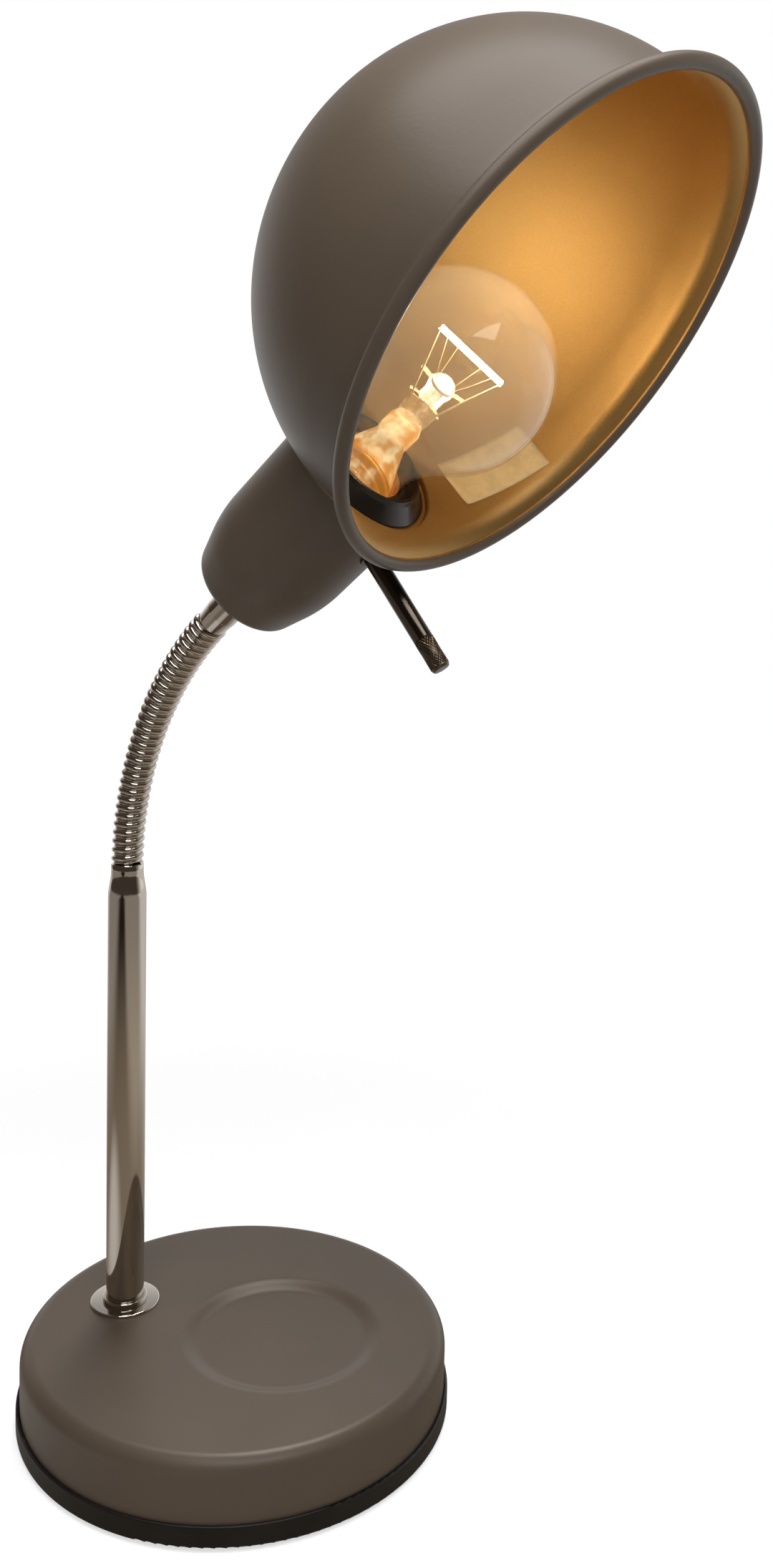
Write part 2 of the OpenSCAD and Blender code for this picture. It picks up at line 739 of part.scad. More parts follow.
module holder_skirt() {
    foot_t = 0.9;
    lip_t = 1;
    lip_r = skirt_mouth_d / 2;
    bore_up = carrier_top - seat_in;
    color([0.06, 0.05, 0.05]) at_head() translate([0, 0, seat_in]) difference() {
        union() {
            cylinder(r = skirt_foot_d / 2, h = foot_t);
            translate([0, 0, foot_t])
                cylinder(r1 = skirt_foot_d / 2 - 0.2, r2 = lip_r + 1.8, h = skirt_h - lip_t - foot_t);
            translate([0, 0, skirt_h - lip_t]) cylinder(r1 = lip_r + 1.8, r2 = lip_r + 0.7, h = lip_t);
        }
        translate([0, 0, -1]) cylinder(r = carrier_r, h = skirt_h + 2);
        translate([0, 0, bore_up]) cylinder(r1 = carrier_r, r2 = lip_r, h = skirt_h - bore_up + 0.001);
    }
}

module clamp_washer() {
    color([0.7, 0.7, 0.68]) at_head() translate([0, 0, holder_top]) ring(shoulder_r, carrier_r, clamp_washer_t);
}

/* ---------- head: shade ---------- */

// Half section of the shade's outside (off = 0) or inside (off = shade_wall), without the roll
module shade_section(off) {
    high = rim_out + (off > 0 ? 4 : 0);
    wide = rim_r + (off > 0 ? 4 : -roll_r);
    intersection() {
        circle(r = shade_r - off);
        translate([0, -shade_r]) square([shade_r, shade_r]);
    }
    square([shade_r - off, shade_skirt]);
    difference() {
        translate([0, shade_skirt]) square([wide, high - shade_skirt]);
        translate([shade_r + flare_r, shade_skirt]) circle(r = flare_r + off);
    }
}

module shade_form(off) {
    rotate_extrude($fn = 180) shade_section(off);
}

module shade() {
    color([0.36, 0.33, 0.29]) at_head() difference() {
        union() {
            difference() {
                at_shade() difference() {
                    shade_form(0);
                    shade_form(shade_wall);
                }
                translate([0, 0, seat_up - 10]) cylinder(r = seat_d / 2 - shade_wall, h = 20);
            }
            at_shade() rotate_extrude($fn = 180) translate([rim_r - roll_r, rim_out]) circle(r = roll_r, $fn = 48);
            translate([0, 0, seat_up]) cylinder(r = seat_d / 2, h = shade_wall);
            difference() {
                translate([0, 0, seat_up]) ring(seat_d / 2, seat_d / 2 - shade_wall, 4);
                at_shade() shade_form(shade_wall);
            }
        }
        translate([0, 0, seat_up - 1]) cylinder(r = carrier_r, h = 6);
    }
}

/* ---------- head: switch ---------- */

module switch_case() {
    color([0.1, 0.1, 0.1]) at_head() translate([0, 0, rod_up]) difference() {
        translate([case_flat, -case_half, -case_up]) cube([case_out - case_flat, 2 * case_half, 2 * case_up]);
        translate([case_in, 0, 0]) rotate([0, 90, 0]) cylinder(r = rotor_r + rotor_play, h = case_out - case_in - case_wall);
        translate([case_in, 0, 0]) rotate([0, 90, 0]) cylinder(r = rod_r + rod_play, h = case_out);
    }
}

module switch_rotor() {
    len = case_out - case_in - case_wall - 2 * rotor_play;
    color([0.9, 0.88, 0.8]) at_head() translate([case_in + rotor_play, 0, rod_up]) rotate([0, 90, 0]) difference() {
        cylinder(r = rotor_r, h = len);
        translate([0, 0, 0.6]) cylinder(r = rod_r, h = len);
        for (a = [0, 90]) rotate([0, 0, a]) translate([-0.5, rod_r + 0.9, -1]) cube([1, rotor_r, len + 2]);
    }
}

module rod_bush() {
    hole_r = rod_r + 1.2;
    color([0.08, 0.08, 0.08]) at_head() translate([0, 0, rod_up]) rotate([0, 90, 0]) difference() {
        translate([0, 0, case_out]) cylinder(r = hole_r, h = cup_r + 0.6 - case_out);
        translate([0, 0, case_out - 1]) cylinder(r = rod_r + rod_play, h = cup_d);
    }
}

// Rod with a fine lengthwise knurl at its tip and a small chamfered end
module switch_rod() {
    from = case_in + rotor_play + 0.6;
    knurl_from = rod_reach - knurl_len;
    groove = 0.18;
    tip = 0.8;
    color([0.17, 0.15, 0.14]) at_head() translate([0, 0, rod_up]) rotate([0, 90, 0]) {
        translate([0, 0, from]) cylinder(r = rod_r, h = knurl_from - from);
        translate([0, 0, knurl_from]) difference() {
            cylinder(r = rod_r, h = knurl_len - tip);
            for (k = [0 : knurl_ribs - 1]) rotate([0, 0, k * 360 / knurl_ribs]) translate([rod_r, 0, 0.4])
                rotate([0, 0, 45]) translate([-groove, -groove, 0])
                    cube([2 * groove, 2 * groove, knurl_len - tip - 0.8]);
        }
        translate([0, 0, rod_reach - tip]) cylinder(r1 = rod_r, r2 = rod_r - 0.5, h = tip);
    }
}

/* ---------- bulb ---------- */

// The outside (off = 0) or the inside (off = glass_t) of the envelope
module glass_form(off) {
    foot = cap_rim - 4;
    waist = cap_rim + 4;
    // where the cone from the waist touches the ball, as an angle at the ball's centre
    touch = atan(neck_glass_r / (ball_mid - waist)) + acos(bulb_r / norm([neck_glass_r, ball_mid - waist]));
    touch_z = ball_mid - (bulb_r - off) * cos(touch);
    translate([0, 0, ball_mid]) sphere(r = bulb_r - off, $fn = 128);
    translate([0, 0, foot]) cylinder(r = neck_glass_r - off, h = waist - foot);
    translate([0, 0, waist])
        cylinder(r1 = neck_glass_r - off, r2 = (bulb_r - off) * sin(touch), h = touch_z - waist);
}

module bulb_glass() {
    color([0.95, 0.95, 0.9, 0.3]) at_bulb() difference() {
        glass_form(0);
        glass_form(glass_t);
    }
}

module bulb_cap() {
    cone = 3;
    color([0.8, 0.68, 0.38]) at_bulb() translate([0, 0, tip_z + 1.5]) difference() {
        union() {
            cylinder(r1 = 7, r2 = cap_r, h = cone);
            translate([0, 0, cone]) cylinder(r = cap_r, h = cap_len - 1.5 - cone);
        }
        translate([0, 0, -0.001]) cylinder(r1 = 7 - cap_wall, r2 = cap_r - cap_wall, h = cone + 0.002);
        translate([0, 0, cone]) cylinder(r = cap_r - cap_wall, h = cap_len);
    }
}

module tip_contact() {
    color([0.12, 0.12, 0.14]) at_bulb() translate([0, 0, tip_z]) {
        cylinder(r1 = 3.2, r2 = 4.8, h = 0.8);
        translate([0, 0, 0.8]) cylinder(r = 4.8, h = 0.7);
        translate([0, 0, 1.5]) cylinder(r = 7 - cap_wall, h = 0.8);
    }
}

// Glass flare, tube with its flat pinch, rod and button that carry the filament
module glass_mount() {
    flare = pinch_z - 11;
    color([0.95, 0.95, 0.9, 0.5]) at_bulb() {
        translate([0, 0, cap_rim - 4]) difference() {
            cylinder(r1 = neck_glass_r - glass_t, r2 = 5.6, h = flare - cap_rim + 4);
            translate([0, 0, -0.001])
                cylinder(r1 = neck_glass_r - 2 * glass_t, r2 = 4.8, h = flare - cap_rim + 3.5);
        }
        translate([0, 0, flare]) cylinder(r = 5.6, h = 9);
        translate([0, 0, flare + 9]) cylinder(r1 = 5.6, r2 = 3, h = 3);
        translate([-pinch_half, -1.6, pinch_z - 1]) cube([2 * pinch_half, 3.2, pinch_top - pinch_z + 1]);
        translate([0, 0, pinch_top - 1]) cylinder(r = 1.5, h = button_z - pinch_top + 1);
        translate([0, 0, button_z - 0.9]) cylinder(r1 = 3.3, r2 = 3.8, h = 0.9);
        translate([0, 0, button_z]) cylinder(r1 = 3.8, r2 = 3.3, h = 0.9);
    }
}

module lead_wires() {
    half = filament_len / 2;
    color([0.6, 0.6, 0.6]) at_bulb() for (s = [-1, 1]) {
        strand([s * (pinch_half - 0.8), 0, pinch_top - 3], [s * half, 0, filament_up], wire_r);
        strand([s * 2.4, 0, button_z - 0.3], [s * 4.5, 0, filament_up - 0.2], wire_r * 0.7);
    }
}

module filament() {
    color([1, 0.95, 0.75]) at_bulb() translate([-filament_len / 2 + 0.2, 0, filament_up]) rotate([0, 90, 0])
        cylinder(r = 0.6, h = filament_len - 0.4, $fn = 24);
}

base_cover();
bottom_tray();
base_weight();
foot_pad();
tray_screws();
stem_flange();
stem_collar();
stem_tube();
stem_bush();
base_nipple();
base_washer();
base_nut();
neck_end_plug();
cord_gland();
cord_clamp();
clamp_screws();
terminal_block();
terminal_screws();
stem_lead();
neck_lead();
neck_link(1);  // neck_link_01
neck_link(2);  // neck_link_02
neck_link(3);  // neck_link_03
neck_link(4);  // neck_link_04
neck_link(5);  // neck_link_05
neck_link(6);  // neck_link_06
neck_link(7);  // neck_link_07
neck_link(8);  // neck_link_08
neck_link(9);  // neck_link_09
neck_link(10);  // neck_link_10
neck_link(11);  // neck_link_11
neck_link(12);  // neck_link_12
neck_link(13);  // neck_link_13
neck_link(14);  // neck_link_14
neck_link(15);  // neck_link_15
neck_link(16);  // neck_link_16
ferrule();
cup();
cup_nut();
holder_base();
contact_carrier();
screw_shell();
centre_contact();
side_contact();
holder_screws();
holder_skirt();
clamp_washer();
shade();
switch_case();
rod_bush();
head_lead();
switch_rod();
switch_rotor();
bulb_glass();
bulb_cap();
tip_contact();
glass_mount();
lead_wires();
filament();
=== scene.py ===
# %% [markdown]
# # A gooseneck desk lamp
# The lamp has a stamped round base with a cast weight inside, a chromed stem, a wound chrome
# gooseneck, a painted cup that hides the lampholder and its rotary switch, and a domed shade that is
# taupe outside and gold inside. Its rigid pieces come from the CAD frame. This lesson dresses them:
# it gives every surface its finish and rebuilds the pieces whose look depends on soft edges, wound
# wire or thin glass.

# %% Load the frame
import json
from math import cos, pi, radians, sin, tan

import bmesh
import bpy
from mathutils import Matrix, Vector


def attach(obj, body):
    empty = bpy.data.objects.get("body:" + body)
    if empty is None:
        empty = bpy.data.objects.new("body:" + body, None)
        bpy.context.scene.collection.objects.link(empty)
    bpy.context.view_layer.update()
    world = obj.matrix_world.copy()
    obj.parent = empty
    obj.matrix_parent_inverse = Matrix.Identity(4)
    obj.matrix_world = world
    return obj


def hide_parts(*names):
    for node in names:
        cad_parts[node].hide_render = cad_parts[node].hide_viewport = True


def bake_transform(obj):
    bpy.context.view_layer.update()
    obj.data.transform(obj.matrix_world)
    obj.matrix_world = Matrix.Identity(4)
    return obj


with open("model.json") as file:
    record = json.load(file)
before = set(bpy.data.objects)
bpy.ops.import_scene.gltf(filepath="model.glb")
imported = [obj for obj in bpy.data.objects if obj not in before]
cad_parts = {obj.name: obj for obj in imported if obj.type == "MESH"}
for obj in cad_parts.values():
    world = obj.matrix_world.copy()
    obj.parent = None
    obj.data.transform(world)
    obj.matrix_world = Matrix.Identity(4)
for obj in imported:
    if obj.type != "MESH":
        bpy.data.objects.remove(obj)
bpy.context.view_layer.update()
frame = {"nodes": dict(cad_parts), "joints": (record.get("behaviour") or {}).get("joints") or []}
joints = {joint["name"]: joint for joint in frame["joints"]}

# %% [markdown]
# ## Camera
# The lamp is seen from a little above its middle, with the lens shifted a little. The camera's turn is
# built from its own three directions; the angles are in radians.

# %% Camera
eye = Vector((0.1847, -0.4252, 0.3050))
look_side, look_down, tilt = -0.284, 0.088, 0.025
ahead = Vector((
    sin(look_side) * cos(look_down),
    cos(look_side) * cos(look_down),
    -sin(look_down),
))
level = Vector((cos(look_side), -sin(look_side), 0))
upright = level.cross(ahead)
picture_right = level * cos(tilt) + upright * sin(tilt)
picture_up = upright * cos(tilt) - level * sin(tilt)

lens = bpy.data.cameras.new("camera")
lens.lens = 28.63
lens.shift_x = -0.0102
lens.shift_y = -0.0402
lens.clip_start = 0.01
camera = bpy.data.objects.new("camera", lens)
turn = Matrix((picture_right, picture_up, -ahead)).transposed()
camera.matrix_world = Matrix.Translation(eye) @ turn.to_4x4()
bpy.context.collection.objects.link(camera)
bpy.context.scene.camera = camera
bpy.context.scene.view_settings.view_transform = "Standard"
print("camera stands at", [round(v, 3) for v in eye])

# %% [markdown]
# ## Where the pieces sit
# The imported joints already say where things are: the bulb's joint runs along the cup, the switch's
# joint points to the shade's mouth side, and the last neck joint is the head's foot. A matrix made
# from them carries sizes in millimetres to their place in metres.

# %% Places
MM = Matrix.Scale(0.001, 4)


def place(origin, x_axis, z_axis):
    """The matrix that carries millimetres in a piece's own frame to the lamp's frame."""
    z = Vector(z_axis).normalized()
    x = Vector(x_axis).normalized()
    y = z.cross(x)
    turn = Matrix((x, y, z)).transposed().to_4x4()
    return Matrix.Translation(Vector(origin)) @ turn @ MM


def slide(x, y, z):
    return Matrix.Translation((x, y, z))


STEM_BACK, STEM_FOOT = -48.3, 30.5
SHADE_AT, ROD_AT = Vector((-0.7, 0, 156.6)), 73.0
SHADE_LEAN, BULB_TURNED = 15.7, 33.0  # degrees
cup_axis = Vector(joints["bulb_turn"]["axis"])
mouth_side = Vector(joints["switch_turn"]["axis"])
neck_foot = Vector(joints["neck_bend_01"]["pos_m"])
neck_end = Vector(joints["neck_bend_09"]["pos_m"])
FLOOR = MM.copy()
STEM = place((STEM_BACK / 1000, 0, 0), (1, 0, 0), (0, 0, 1))
HEAD = place(neck_end, mouth_side, cup_axis)
SHADE = HEAD @ slide(*SHADE_AT) @ Matrix.Rotation(radians(90 - SHADE_LEAN), 4, "Y")
ROD = HEAD @ slide(0, 0, ROD_AT) @ Matrix.Rotation(radians(90), 4, "Y")
BULB = HEAD @ Matrix.Rotation(radians(BULB_TURNED), 4, "Z")
print("neck rises from", round(neck_foot.z * 1000, 1), "to", round(neck_end.z * 1000, 1), "mm")

# %% [markdown]
# ## Shader maths as Python
# A small class wraps an output socket, so that a sum or a product of two of them adds its Math node.
# `add` makes any other node from its type, its settings and what goes into its sockets.

# %% Signals and nodes


def feed(tree, socket, value):
    """Links a signal to a socket, or writes a plain value there."""
    if isinstance(value, Signal):
        tree.links.new(value.socket, socket)
    else:
        socket.default_value = value


class Signal:
    """An output socket that Python can calculate with."""

    def __init__(self, tree, socket):
        self.tree, self.socket = tree, socket

    def maths(self, operation, *values, clamp=False):
        node = self.tree.nodes.new("ShaderNodeMath")
        node.operation = operation
        node.use_clamp = clamp
        for socket, value in zip(node.inputs, values):
            feed(self.tree, socket, value)
        return Signal(self.tree, node.outputs[0])

    def __add__(self, other):
        return self.maths("ADD", self, other)

    def __sub__(self, other):
        return self.maths("SUBTRACT", self, other)

    def __rsub__(self, other):
        return self.maths("SUBTRACT", other, self)

    def __mul__(self, other):
        return self.maths("MULTIPLY", self, other)

    def __truediv__(self, other):
        return self.maths("DIVIDE", self, other)

    def __pow__(self, other):
        return self.maths("POWER", self, other)

    __radd__ = __add__
    __rmul__ = __mul__

    def clamped(self):
        return self.maths("ADD", self, 0.0, clamp=True)

    def wave(self, kind):
        return self.maths(kind, self)

    def span(self, low, high):
        """0 below low, 1 above high, and a soft step between."""
        node = self.tree.nodes.new("ShaderNodeMapRange")
        node.interpolation_type = "SMOOTHSTEP"
        node.inputs["From Min"].default_value = low
        node.inputs["From Max"].default_value = high
        self.tree.links.new(self.socket, node.inputs["Value"])
        return Signal(self.tree, node.outputs["Result"])


def add(tree, kind, settings=None, output=0, **values):
    """Makes a node: its settings first, then what feeds its sockets (In_1 is the socket numbered 1)."""
    node = tree.nodes.new(kind)
    for name, setting in (settings or {}).items():
        if name == "stops":
            ramp = node.color_ramp
            while len(ramp.elements) < len(setting):
                ramp.elements.new(0.5)
            for element, (where, colour) in zip(ramp.elements, setting):
                element.position = where
                element.color = (*colour, 1)
        else:
            setattr(node, name, setting)
    for name, value in values.items():
        known = int(name.split("_")[-1]) if name.startswith("In_") else name.replace("_", " ")
        socket = node.inputs[known]
        feed(tree, socket, value)
    return Signal(tree, node.outputs[output])


def mixed(tree, share, first, second):
    """A colour between two colours."""
    return add(tree, "ShaderNodeMix", {"data_type": "RGBA"}, output=2, In_0=share, In_6=first, In_7=second)


def rgb(red, green, blue):
    """A colour in display values from 0 to 255, as the linear colour that nodes take."""

    def linear(value):
        return ((value / 255 + 0.055) / 1.055) ** 2.4 if value > 10 else value / 255 / 12.92

    return (linear(red), linear(green), linear(blue), 1)


def finish(name, **plain):
    """A material with a Principled shader; its unchanging values are set on the shader itself."""
    material = bpy.data.materials.new(name)
    material.use_nodes = True
    tree = material.node_tree
    shader = tree.nodes["Principled BSDF"]
    for key, value in plain.items():
        shader.inputs[key.replace("_", " ")].default_value = value
    return material, tree, shader


def coat(tree, shader, colour, roughness):
    """Feeds what varies on most surfaces."""
    feed(tree, shader.inputs["Base Color"], colour)
    feed(tree, shader.inputs["Roughness"], roughness)


def object_place(tree):
    return add(tree, "ShaderNodeTexCoord", output=3)


def noise(tree, scale, detail=2.0, roughness=0.5):
    where = object_place(tree)
    return add(tree, "ShaderNodeTexNoise", Vector=where, Scale=scale, Detail=detail, Roughness=roughness)


def bump(tree, shader, height, distance, strength=1.0):
    normal = add(tree, "ShaderNodeBump", Height=height, Distance=distance, Strength=strength)
    tree.links.new(normal.socket, shader.inputs["Normal"])


def coordinate(tree, where, axis):
    """One coordinate of a place: axis 0, 1 or 2."""
    return add(tree, "ShaderNodeSeparateXYZ", output=axis, Vector=where)


def material_of(obj, *materials):
    """Swaps an object's materials; its faces keep their slot numbers, which clear() sets to 0."""
    slots = [face.material_index for face in obj.data.polygons]
    obj.data.materials.clear()
    for material in materials:
        obj.data.materials.append(material)
    obj.data.polygons.foreach_set("material_index", slots)


print("shader helpers ready")

# %% [markdown]
# ## Finishes
# The base, cup and shade are powder coated in taupe: a fine-grained matt paint. The coating's grain is a
# fine noise in the bump, and a coarser noise moves its tone and roughness a little.

# %% Taupe powder coat
TAUPE = rgb(92, 79, 66)
TAUPE_DARK = rgb(89, 77, 65)

taupe, tree, shader = finish("taupe_powder_coat", Specular_IOR_Level=0.36)
tone = noise(tree, 38.0, 3.0)
grain = noise(tree, 2400.0, 2.0, 0.6)
peel = noise(tree, 620.0, 1.0)
shades = mixed(tree, tone.span(0.35, 0.68), TAUPE_DARK, TAUPE)
coat(tree, shader, shades, 0.33 + 0.07 * tone + 0.05 * grain)
bump(tree, shader, grain * 0.6 + peel, 0.00006, 0.5)
print("made", taupe.name)

# %% [markdown]
# The shade's inside is sprayed with a satin gold lacquer. Metal flakes make it grainy: each flake
# leans its own way, so a fine noise moves both the roughness and the brightness.

# %% Gold lacquer
GOLD = rgb(203, 165, 106)
GOLD_DEEP = rgb(184, 145, 88)

gold, tree, shader = finish("gold_lacquer", Metallic=1.0)
flake = noise(tree, 2600.0, 2.0, 0.7)
cloud = noise(tree, 24.0, 3.0)
shades = mixed(tree, (flake * 0.7 + cloud * 0.3).span(0.25, 0.8), GOLD_DEEP, GOLD)
coat(tree, shader, shades, 0.38 + 0.12 * flake + 0.04 * cloud)
bump(tree, shader, flake, 0.00012, 0.5)
print("made", gold.name)

# %% [markdown]
# Chrome on the stem, the flange, the ferrule and the wound wire is a mirror with faint smears and
# specks, so its roughness is never quite even.

# %% Chrome
chrome, tree, shader = finish("chrome_plate", Metallic=1.0, Base_Color=rgb(208, 200, 191))
smear = noise(tree, 55.0, 4.0, 0.6)
specks = noise(tree, 900.0, 1.0)
feed(tree, shader.inputs["Roughness"], 0.05 + 0.07 * smear.span(0.45, 0.75) + 0.02 * specks)
print("made", chrome.name)

black_chrome, tree, shader = finish("black_chrome", Metallic=1.0, Base_Color=rgb(92, 84, 76))
feed(tree, shader.inputs["Roughness"], 0.12 + 0.1 * noise(tree, 300.0, 3.0))

knurl_chrome, tree, shader = finish("knurl_chrome", Metallic=1.0)
rubbed = noise(tree, 500.0, 2.0)
coat(tree, shader, mixed(tree, rubbed, rgb(96, 86, 76), rgb(132, 120, 107)), 0.32 + 0.12 * rubbed)
print("made", black_chrome.name, knurl_chrome.name)

# %% [markdown]
# The black pieces differ: the foot ring is a dull moulded plastic, the lampholder's skirt is glossy
# and hard, and the foot pad under the base is closed-cell foam.

# %% Black mouldings and foam
ring_black, tree, shader = finish("ring_black")
mould = noise(tree, 1400.0, 2.0)
wear = noise(tree, 90.0, 3.0)
blacks = mixed(tree, wear.span(0.3, 0.75), rgb(17, 14, 13), rgb(27, 23, 21))
coat(tree, shader, blacks, 0.42 + 0.16 * wear)
bump(tree, shader, mould, 0.00004, 0.5)

skirt_black, tree, shader = finish("skirt_black", Coat_Weight=0.3, Coat_Roughness=0.12)
flow = noise(tree, 160.0, 3.0)
coat(tree, shader, mixed(tree, flow, rgb(15, 11, 9), rgb(27, 21, 17)), 0.22 + 0.14 * flow)
bump(tree, shader, flow, 0.00005, 0.2)

foam, tree, shader = finish("foot_foam")
cells = add(tree, "ShaderNodeTexVoronoi", Vector=object_place(tree), Scale=900.0)
coat(tree, shader, mixed(tree, cells, rgb(34, 34, 35), rgb(64, 63, 62)), 0.8 + 0.15 * cells)
bump(tree, shader, cells, 0.0002, 0.6)
print("made", ring_black.name, skirt_black.name, foam.name)

# %% [markdown]
# Small metal pieces: zinc-plated steel with the cloudy spangle of plating, and brass that has dulled
# unevenly. The cast weight is rough grey iron. The lead's sheath and the terminal block are pale
# plastics.

# %% Small metals and plastics


def spotted(name, dark, light, size, low, high, relief=0.00003, **plain):
    """A finish whose tone and roughness follow one noise."""
    material, tree, shader = finish(name, **plain)
    spots = noise(tree, size, 3.0, 0.6)
    coat(tree, shader, mixed(tree, spots.span(0.3, 0.7), dark, light), low + (high - low) * spots)
    bump(tree, shader, noise(tree, size * 8, 2.0), relief, 0.4)
    return material


zinc = spotted("zinc_plate", rgb(150, 150, 146), rgb(186, 186, 182), 260.0, 0.25, 0.5, Metallic=1.0)
brass = spotted("brass", rgb(190, 128, 48), rgb(228, 172, 84), 180.0, 0.2, 0.42, Metallic=1.0)
cast_iron = spotted("cast_iron", rgb(44, 44, 46), rgb(70, 70, 72), 420.0, 0.6, 0.9, 0.0003, Metallic=0.4)
sheath = spotted("lead_sheath", rgb(206, 204, 198), rgb(222, 220, 214), 300.0, 0.4, 0.55)
block_white = spotted("terminal_white", rgb(214, 210, 200), rgb(228, 225, 216), 300.0, 0.35, 0.5)
holder_black = spotted("holder_black", rgb(30, 24, 20), rgb(46, 38, 32), 300.0, 0.3, 0.5)
print("made", zinc.name, brass.name, cast_iron.name, sheath.name, block_white.name, holder_black.name)

# %% [markdown]
# ## Turned pieces
# Stem, ferrule, skirt, cup and shade are round, so each is a profile turned about its own axis. Real
# edges are never sharp: `rounded` puts an arc at each corner that asks for one.

# %% Profiles and turning


def rounded(corners, steps=6):
    """A line through (radius, height, fillet) corners, with an arc of that fillet at each corner."""
    points = []
    for k, (x, y, fillet) in enumerate(corners):
        if fillet <= 0 or k in (0, len(corners) - 1):
            points.append((x, y))
            continue
        here = Vector((x, y))
        back = (Vector(corners[k - 1][:2]) - here).normalized()
        on = (Vector(corners[k + 1][:2]) - here).normalized()
        half = back.angle(on) / 2
        reach = fillet / tan(half)
        centre = here + (back + on).normalized() * (fillet / sin(half))
        start, end = here + back * reach - centre, here + on * reach - centre
        sweep = start.angle_signed(end)
        for n in range(steps + 1):
            a = -sweep * n / steps
            points.append((
                centre.x + start.x * cos(a) - start.y * sin(a),
                centre.y + start.x * sin(a) + start.y * cos(a),
            ))
    return points


def arc(centre, radius, first, last, steps):
    """Points of an arc in the profile plane; angles in degrees from the outward direction."""
    return [
        (
            centre[0] + radius * cos(radians(first + (last - first) * n / steps)),
            centre[1] + radius * sin(radians(first + (last - first) * n / steps)),
        )
        for n in range(steps + 1)
    ]


def linked(name, data):
    """A new object in the scene."""
    obj = bpy.data.objects.new(name, data)
    bpy.context.collection.objects.link(obj)
    return obj


def mesh_object(name, bm, sharp=40):
    """Turns a bmesh into an object at the origin, shaded smooth except over sharp edges."""
    bmesh.ops.remove_doubles(bm, verts=bm.verts, dist=1e-7)
    bmesh.ops.recalc_face_normals(bm, faces=bm.faces)
    mesh = bpy.data.meshes.new(name)
    bm.to_mesh(mesh)
    bm.free()
    for face in mesh.polygons:
        face.use_smooth = True
    mesh.set_sharp_from_angle(angle=radians(sharp))
    return linked(name, mesh)


def oval(bm, matrix, sides, wide, deep, z, x=0.0):
    """The vertices of one oval ring at height z; without width it is a single vertex."""
    if wide < 1e-6:
        return [bm.verts.new(matrix @ Vector((x, 0, z)))]
    angles = [2 * pi * k / sides for k in range(sides)]
    return [bm.verts.new(matrix @ Vector((x + wide * cos(a), deep * sin(a), z))) for a in angles]


def lay_faces(bm, rings, closed=False, slots=None):
    """Lays faces between rings that follow each other; slots gives the material of each stretch."""
    sides = max(len(ring) for ring in rings)
    pairs = list(zip(rings, rings[1:]))
    if closed:
        pairs.append((rings[-1], rings[0]))
    for n, (low, high) in enumerate(pairs):
        for k in range(sides):
            on = k + 1
            four = [low[k % len(low)], low[on % len(low)], high[on % len(high)], high[k % len(high)]]
            corners = list(dict.fromkeys(four))
            if len(corners) > 2:
                face = bm.faces.new(corners)
                face.material_index = slots[n] if slots else 0


def turned(name, profile, matrix, closed=False, sides=128, sharp=40, slots=None):
    """Turns a profile of (radius, height) in millimetres about the z axis of its place."""
    bm = bmesh.new()
    lay_faces(bm, [oval(bm, matrix, sides, r, r, z) for r, z in profile], closed, slots)
    return mesh_object(name, bm, sharp)


def dress(piece, body, slot, *materials, replaces=()):
    """Gives a piece its materials and its body, and hides the CAD nodes that it stands for; slot is not used."""
    if materials:
        material_of(piece, *materials)
    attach(piece, body)
    if replaces:
        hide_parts(*replaces)
    return piece


print("turning helpers ready")

# %% [markdown]
# ## Base cover
# The cover is drawn from sheet steel with a shallow dish pressed off-centre into its top. It is made
# of nested circles: the inner ones stay centred on the dish, the outer ones on the base, and those
# between slide from one centre to the other, so both features keep clean loops.

# %% Base cover
DISH_X, DISH_R, DISH_SIDE, DISH_DEEP = 18.4, 32.2, 5.8, 2.0
BASE_R, BASE_TOP, BASE_EDGE, COVER_WALL, FLOOR_GAP = 80.5, 29.4, 5.8, 1.2, 2.9
INSIDE_TOP, INSIDE_EDGE, COVER_SIDES = BASE_TOP - 3.2, 23.4, 160


def soft_step(value, low, high):
    t = min(1.0, max(0.0, (value - low) / (high - low)))
    return t * t * (3 - 2 * t)


def base_rings():
    """(centre, radius, height) of each circle of the cover, from the dish's middle to the inside."""
    floor = BASE_TOP - DISH_DEEP
    side_end = DISH_R + DISH_SIDE
    rings = [(DISH_X, DISH_R * share, floor) for share in (0, 0.3, 0.6, 0.8, 0.92)]
    for n in range(17):
        r = DISH_R - 1.6 + (DISH_SIDE + 3.2) * n / 16
        rings.append((DISH_X, r, floor + DISH_DEEP * soft_step(r, DISH_R - 1.4, side_end + 0.8)))
    flat = BASE_R - BASE_EDGE
    for n in range(1, 9):
        r = side_end + 3.4 + (flat - side_end - 3.4) * n / 8
        rings.append((DISH_X * (1 - soft_step(r, side_end + 3.4, flat)), r, BASE_TOP))
    rings += [(0, r, z) for r, z in arc((flat, BASE_TOP - BASE_EDGE), BASE_EDGE, 86, 0, 14)]
    rings += [(0, BASE_R, 16.0), (0, BASE_R, 9.0), (0, BASE_R, FLOOR_GAP), (0, BASE_R - COVER_WALL, FLOOR_GAP)]
    rings += [(0, BASE_R - COVER_WALL, INSIDE_EDGE), (0, flat, INSIDE_TOP), (0, 0, INSIDE_TOP)]
    return rings


bm = bmesh.new()
lay_faces(bm, [oval(bm, FLOOR, COVER_SIDES, r, r, z, x) for x, r, z in base_rings()])
cover = mesh_object("base_cover_pressed", bm, 50)
dress(cover, "base", "taupe_paint", taupe, replaces=["base_cover"])
print("base cover has", len(cover.data.polygons), "faces")

# %% [markdown]
# ## Stem, flange and collar
# The stem is a chromed tube that is swaged down to the gooseneck's diameter near its top. It stands
# in a pressed collar on a flat chromed flange.

